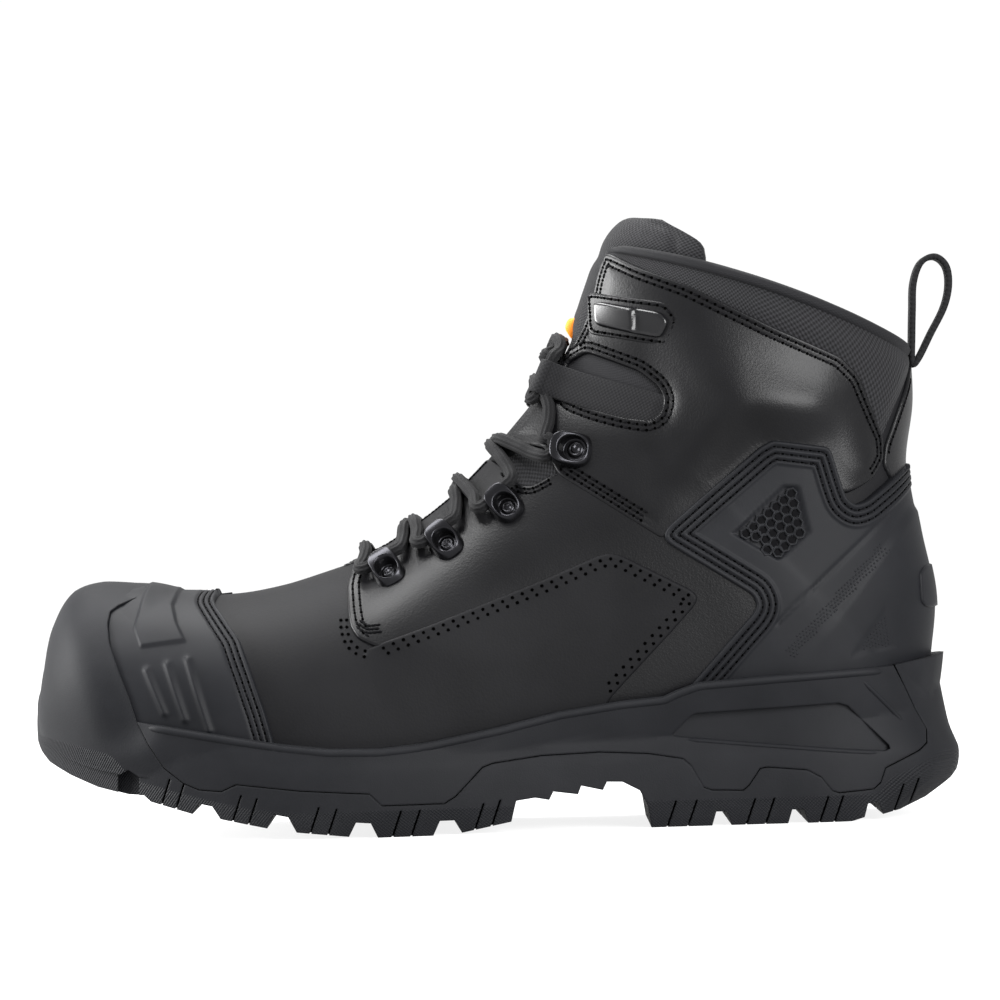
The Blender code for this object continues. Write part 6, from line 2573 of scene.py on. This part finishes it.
@dataclass
class Lace:
    """One round cord through all the holders, its ends tucked in at the top."""

    hardware: Hardware
    radius: float = 1.95
    free: float = 0.3
    straight: float = 1.8
    over_edge: float = 3.6
    over_ridge: Sequence[float] = (-7.0, -7.0, -7.0, -8.0, -5.5, -5.5)
    apart: float = 2.4
    skew: Sequence[float] = (5.5, 6.0, 6.0, 1.0, 12.0, 8.0)
    hugs: int = 7
    around: int = 40
    fine: float = 0.9
    length: float = 0.0
    hook_half: float = 3.0
    ribs: tuple[float, float] = (8.0, 0.09)
    tuck: Sequence[tuple[float, float, float]] = ((13.6, 0.05, 2.6), (13.9, 0.02, -2.0), (14.2, -0.02, -5.0))

    def ends(self, row: int, side: Side) -> tuple[np.ndarray, ...]:
        """Where the cord meets a holder.

        Args:
            row: number of the holder.
            side: side of the foot.

        Returns:
            Lower end, upper end, the way at each, and the holder's middle.
        """
        name, _, _, length, _, _ = self.hardware.places[row]
        stand = self.hardware.stand(row, side)
        middle = stand.spot(0.0, self.hardware.tube_shift, self.hardware.tube_up)
        if name == "hook":
            front = middle + stand.inward * (self.hardware.tube + self.free)
            turn = stand.along * self.hook_half
            ahead = stand.inward * self.straight
            return front - turn, front + turn, -ahead, ahead, middle
        reach = stand.along * (length / 2 + self.free)
        ahead = stand.along * self.straight
        return middle - reach, middle + reach, ahead - stand.inward * self.straight, ahead, middle

    def hug(self, points: np.ndarray, lift: float, row: int) -> list[np.ndarray]:
        """Points pushed out until they clear the leather and, over the throat, the tongue.

        Args:
            points: points in millimetres.
            lift: how far the middle is lifted over another crossing.
            row: number of the crossing.

        Returns:
            The moved points.
        """
        s, v = np.meshgrid(np.linspace(7.0, 18.0, 221), np.linspace(0.6, 1.0, 61), indexing="ij")
        shells = {side: (LAST.bare(s, v, side), LAST.normal(s, v, side)) for side in Side}
        clear = []
        for point in points:
            middle = 5.0 if point[0] < 0.0 else 3.0
            grid, out = shells[Side.OUTER if point[1] < middle else Side.INNER]
            best = np.argmin(np.linalg.norm(grid - point, axis=-1))
            spot, way = grid.reshape(-1, 3)[best], out.reshape(-1, 3)[best]
            edge = float(LAST.throat(s.flat[best]))
            share = min(max((float(v.flat[best]) - edge) / (1.0 - edge), 0.0), 1.0) ** 0.6
            need = self.over_edge + (self.over_ridge[row] - self.over_edge) * share
            bump = lift * math.exp(-((point[1] - middle) ** 2) / 72.0)
            clear.append(spot + way * (max(need, float(np.dot(point - spot, way))) + bump))
        return clear

    def across(self, start: np.ndarray, end: np.ndarray, lift: float, row: int) -> list[np.ndarray]:
        """Free cord over the throat between two ends, bowed up along the throat.

        Args:
            start: first end.
            end: second end.
            lift: lift of the middle.
            row: number of the crossing.

        Returns:
            Points.
        """
        share = np.linspace(0.0, 1.0, self.hugs + 2)[1:-1, None]
        bow = self.skew[row] * np.sin(math.pi * share) * np.array((0.83, 0.0, 0.56))
        return self.hug(start * (1.0 - share) + end * share + bow, lift, row)

    def half(self, first: Side) -> list[np.ndarray]:
        """Path from the bottom bar up to a hidden end at the top.

        Args:
            first: side where it starts.

        Returns:
            Points.
        """
        path, side = [], first
        rows = len(self.hardware.places)
        for row in range(rows):
            low, high, _, leave, middle = self.ends(row, side)
            path += [low, middle, high, high + leave]
            other = side.other
            lift = self.apart if (first is Side.OUTER) == (row % 2 == 0) else -self.apart * 0.2
            if row + 1 < rows:
                end, _, turn, _, _ = self.ends(row + 1, other)
                path += self.across(high + leave, end - turn, lift, row + 1) + [end - turn]
            else:
                edge = float(LAST.throat(self.tuck[0][0]))
                tucked = [LAST.skin(s, edge + over, other, out) for s, over, out in self.tuck]
                path += self.across(high + leave, tucked[0], lift, row + 1) + tucked
            side = other
        return path

    def line(self) -> np.ndarray:
        """Middle line of the whole cord, evenly spaced.

        Returns:
            Points.
        """
        low = {side: self.ends(0, side) for side in Side}
        bar = [low[Side.OUTER][0] - low[Side.OUTER][2]]
        bar += self.across(bar[0], low[Side.INNER][0] - low[Side.INNER][2], 0.0, 0)
        bar.append(low[Side.INNER][0] - low[Side.INNER][2])
        points = np.array(self.half(Side.OUTER)[::-1] + bar + self.half(Side.INNER))
        dense = spline(points, np.linspace(0.0, len(points) - 1.0, 12 * len(points)))
        reach = travel(dense)
        self.length = float(reach[-1])
        at = np.arange(0.0, reach[-1], self.fine)
        return along_line(dense, reach, at)

    def build(self) -> bpy.types.Object:
        """Ribbed round cord along the line.

        Returns:
            The piece.
        """
        path = self.line()
        way = unit(np.gradient(path, axis=0))
        turn = np.arange(self.around + 1) / self.around * 2 * math.pi
        count, deep = self.ribs
        size = self.radius * (1.0 + deep * np.cos(count * turn))
        side = unit(np.cross(way[0], np.array((0.3, 0.2, 0.9))))
        rings, cloth = [], []
        for i, (point, ahead) in enumerate(zip(path, way)):
            side = unit(side - ahead * np.dot(side, ahead))
            up = np.cross(ahead, side)
            rings.append(point + size[:, None] * (np.cos(turn)[:, None] * side + np.sin(turn)[:, None] * up))
            cloth.append(np.column_stack((np.full(len(turn), i * self.fine), turn * self.radius)))
        faces = quads(len(rings), self.around + 1, False)
        last = (len(rings) - 1) * (self.around + 1)
        faces += [tuple(range(self.around, 0, -1)), tuple(last + i for i in range(self.around))]
        return turned_out(make("lace_cord", np.vstack(rings), faces, ("lace",), cloth=np.vstack(cloth)))

    def dress(self) -> None:
        """Builds the cord."""
        crossings = ["lace_cross_%d" % (i + 1) for i in range(len(self.hardware.places))]
        cord = dress(self.build(), "lace_cloth", "lace_bar", *crossings)
        LOG.info("lace: %.0f mm", self.length)


@dataclass
class PullLoop:
    """Webbing loop at the back of the collar."""

    line: Line = (
        (142.8, 151.0), (143.0, 160.0), (143.4, 169.0), (144.0, 178.0), (146.6, 184.6), (151.2, 186.6),
        (155.0, 183.4), (155.8, 177.0), (154.0, 169.5), (149.3, 160.7), (145.0, 152.6))
    thick: float = 1.9
    wide: float = 11.0
    count: int = 90

    def build(self) -> bpy.types.Object:
        """The band, swept round its closed line.

        Returns:
            The piece.
        """
        table = np.asarray(self.line)
        table = np.vstack((table[-2:], table, table[:3]))
        place = np.arange(self.count) / self.count * len(self.line) + 2.0
        path = spline(table, place)
        way = spline(table, place + 0.02) - spline(table, place - 0.02)
        out = unit(np.stack((way[:, 1], -way[:, 0]), 1))
        reach = travel(path)
        half, thick = self.wide / 2, self.thick / 2
        across = np.array((-half, -half + 0.35, -half / 3, half / 3, half - 0.35, half))
        points, cloth = [], []
        for spot, off, at in zip(path, out, reach):
            for y, sign in [(y, 1.0) for y in across] + [(y, -1.0) for y in across[::-1]]:
                thin = 0.35 if abs(y) == half else 1.0
                x, z = spot + off * thick * sign * thin
                points.append((x, MID_Y + y, z))
                cloth.append((at, y))
        width = 2 * len(across)
        faces = quads(self.count, width, True)
        last = (self.count - 1) * width
        faces += [(last + i, last + (i + 1) % width, (i + 1) % width, i) for i in range(width)]
        return turned_out(make("heel_pull_loop", np.array(points), faces, ("webbing",), cloth=cloth))

    def dress(self) -> None:
        """Builds the loop."""
        band = dress(self.build(), "webbing_cloth", "pull_loop")


@dataclass
class Studio:
    """Pale floor, soft light and the photograph's camera."""

    floor: float = 6.0
    pale: float = 0.16
    glow: float = 0.84
    room: float = 1.02
    distance: float = 1800.0
    scale: float = 2.978
    roll: tuple[float, float] = (9.0, 323.0)
    eye: tuple[float, float] = (3.2, 108.95)
    image: float = 1000.0
    sensor: float = 36.0
    lamps: Sequence[tuple[str, Sequence[float], Sequence[float], float, float]] = (
        ("key_light", (-0.66, -0.38, 1.5), (-0.02, 0.0, 0.1), 0.6, 46.0),
        ("toe_light", (-1.4, 0.06, 0.45), (-0.08, 0.0, 0.05), 0.7, 90.0),
        ("heel_light", (0.95, -1.3, 0.5), (0.1, 0.0, 0.15), 1.0, 88.0),
        ("top_light", (-0.25, 0.6, 1.5), (-0.05, 0.0, 0.1), 0.8, 42.0))

    def ground(self) -> None:
        """Large pale disc under the boot."""
        bm = bmesh.new()
        bmesh.ops.create_circle(bm, cap_ends=True, radius=self.floor, segments=96)
        mesh = bpy.data.meshes.new("studio_floor")
        bm.to_mesh(mesh)
        bm.free()
        g = Graph("studio_floor")
        g.shader.inputs["Emission Color"].default_value = (1.0, 1.0, 1.0, 1.0)
        g.shader.inputs["Emission Strength"].default_value = self.glow
        mesh.materials.append(g.coat((self.pale, self.pale, self.pale), 0.9, specular=0.1))
        thing = new_object("studio_floor", mesh)

    def sky(self) -> None:
        """Even white room."""
        world = bpy.data.worlds.new("studio")
        bpy.context.scene.world = world
        world.use_nodes = True
        shader = world.node_tree.nodes["Background"]
        shader.inputs["Color"].default_value = (1.0, 1.0, 1.0, 1.0)
        shader.inputs["Strength"].default_value = self.room

    def lamp(self, name: str, place: Sequence[float], aim: Sequence[float], size: float,
             power: float) -> None:
        """A large square light.

        Args:
            name: its name.
            place: where it hangs, in metres.
            aim: what it points at.
            size: side in metres.
            power: watts.
        """
        light = bpy.data.lights.new(name, "AREA")
        light.shape, light.size, light.energy = "SQUARE", size, power
        thing = new_object(name, light)
        way = Vector(aim) - Vector(place)
        thing.matrix_world = Matrix.Translation(place) @ way.to_track_quat("-Z", "Y").to_matrix().to_4x4()

    def camera(self) -> None:
        """Camera at the photograph's angle, level with the boot's middle."""
        lens = bpy.data.cameras.new("camera")
        lens.sensor_width = self.sensor
        lens.lens = self.sensor * self.scale * self.distance / self.image
        lens.clip_start, lens.clip_end = 0.05, 60.0
        thing = new_object("camera", lens)
        angle = math.atan2(*self.roll)
        c, s = math.cos(angle), math.sin(angle)
        x, z = self.eye
        thing.matrix_world = Matrix(((c, s, 0.0, x * MM), (0.0, 0.0, -1.0, -self.distance * MM),
                                     (-s, c, 0.0, z * MM), (0.0, 0.0, 0.0, 1.0)))
        bpy.context.scene.camera = thing

    def dress(self) -> None:
        """Builds floor, light and camera."""
        self.ground()
        self.sky()
        for row in self.lamps:
            self.lamp(*row)
        self.camera()
        bpy.context.scene.view_settings.view_transform = "Standard"


def main() -> None:
    """Builds every piece in order."""
    logging.basicConfig(level=logging.INFO, format="%(name)s %(message)s")
    UpperShell().dress()
    Sole().dress()
    Overlays().dress()
    Collar().dress()
    Tongue().dress()
    hardware = Hardware()
    hardware.dress()
    Lace(hardware).dress()
    PullLoop().dress()
    Studio().dress()


if __name__ == "__main__":
    main()
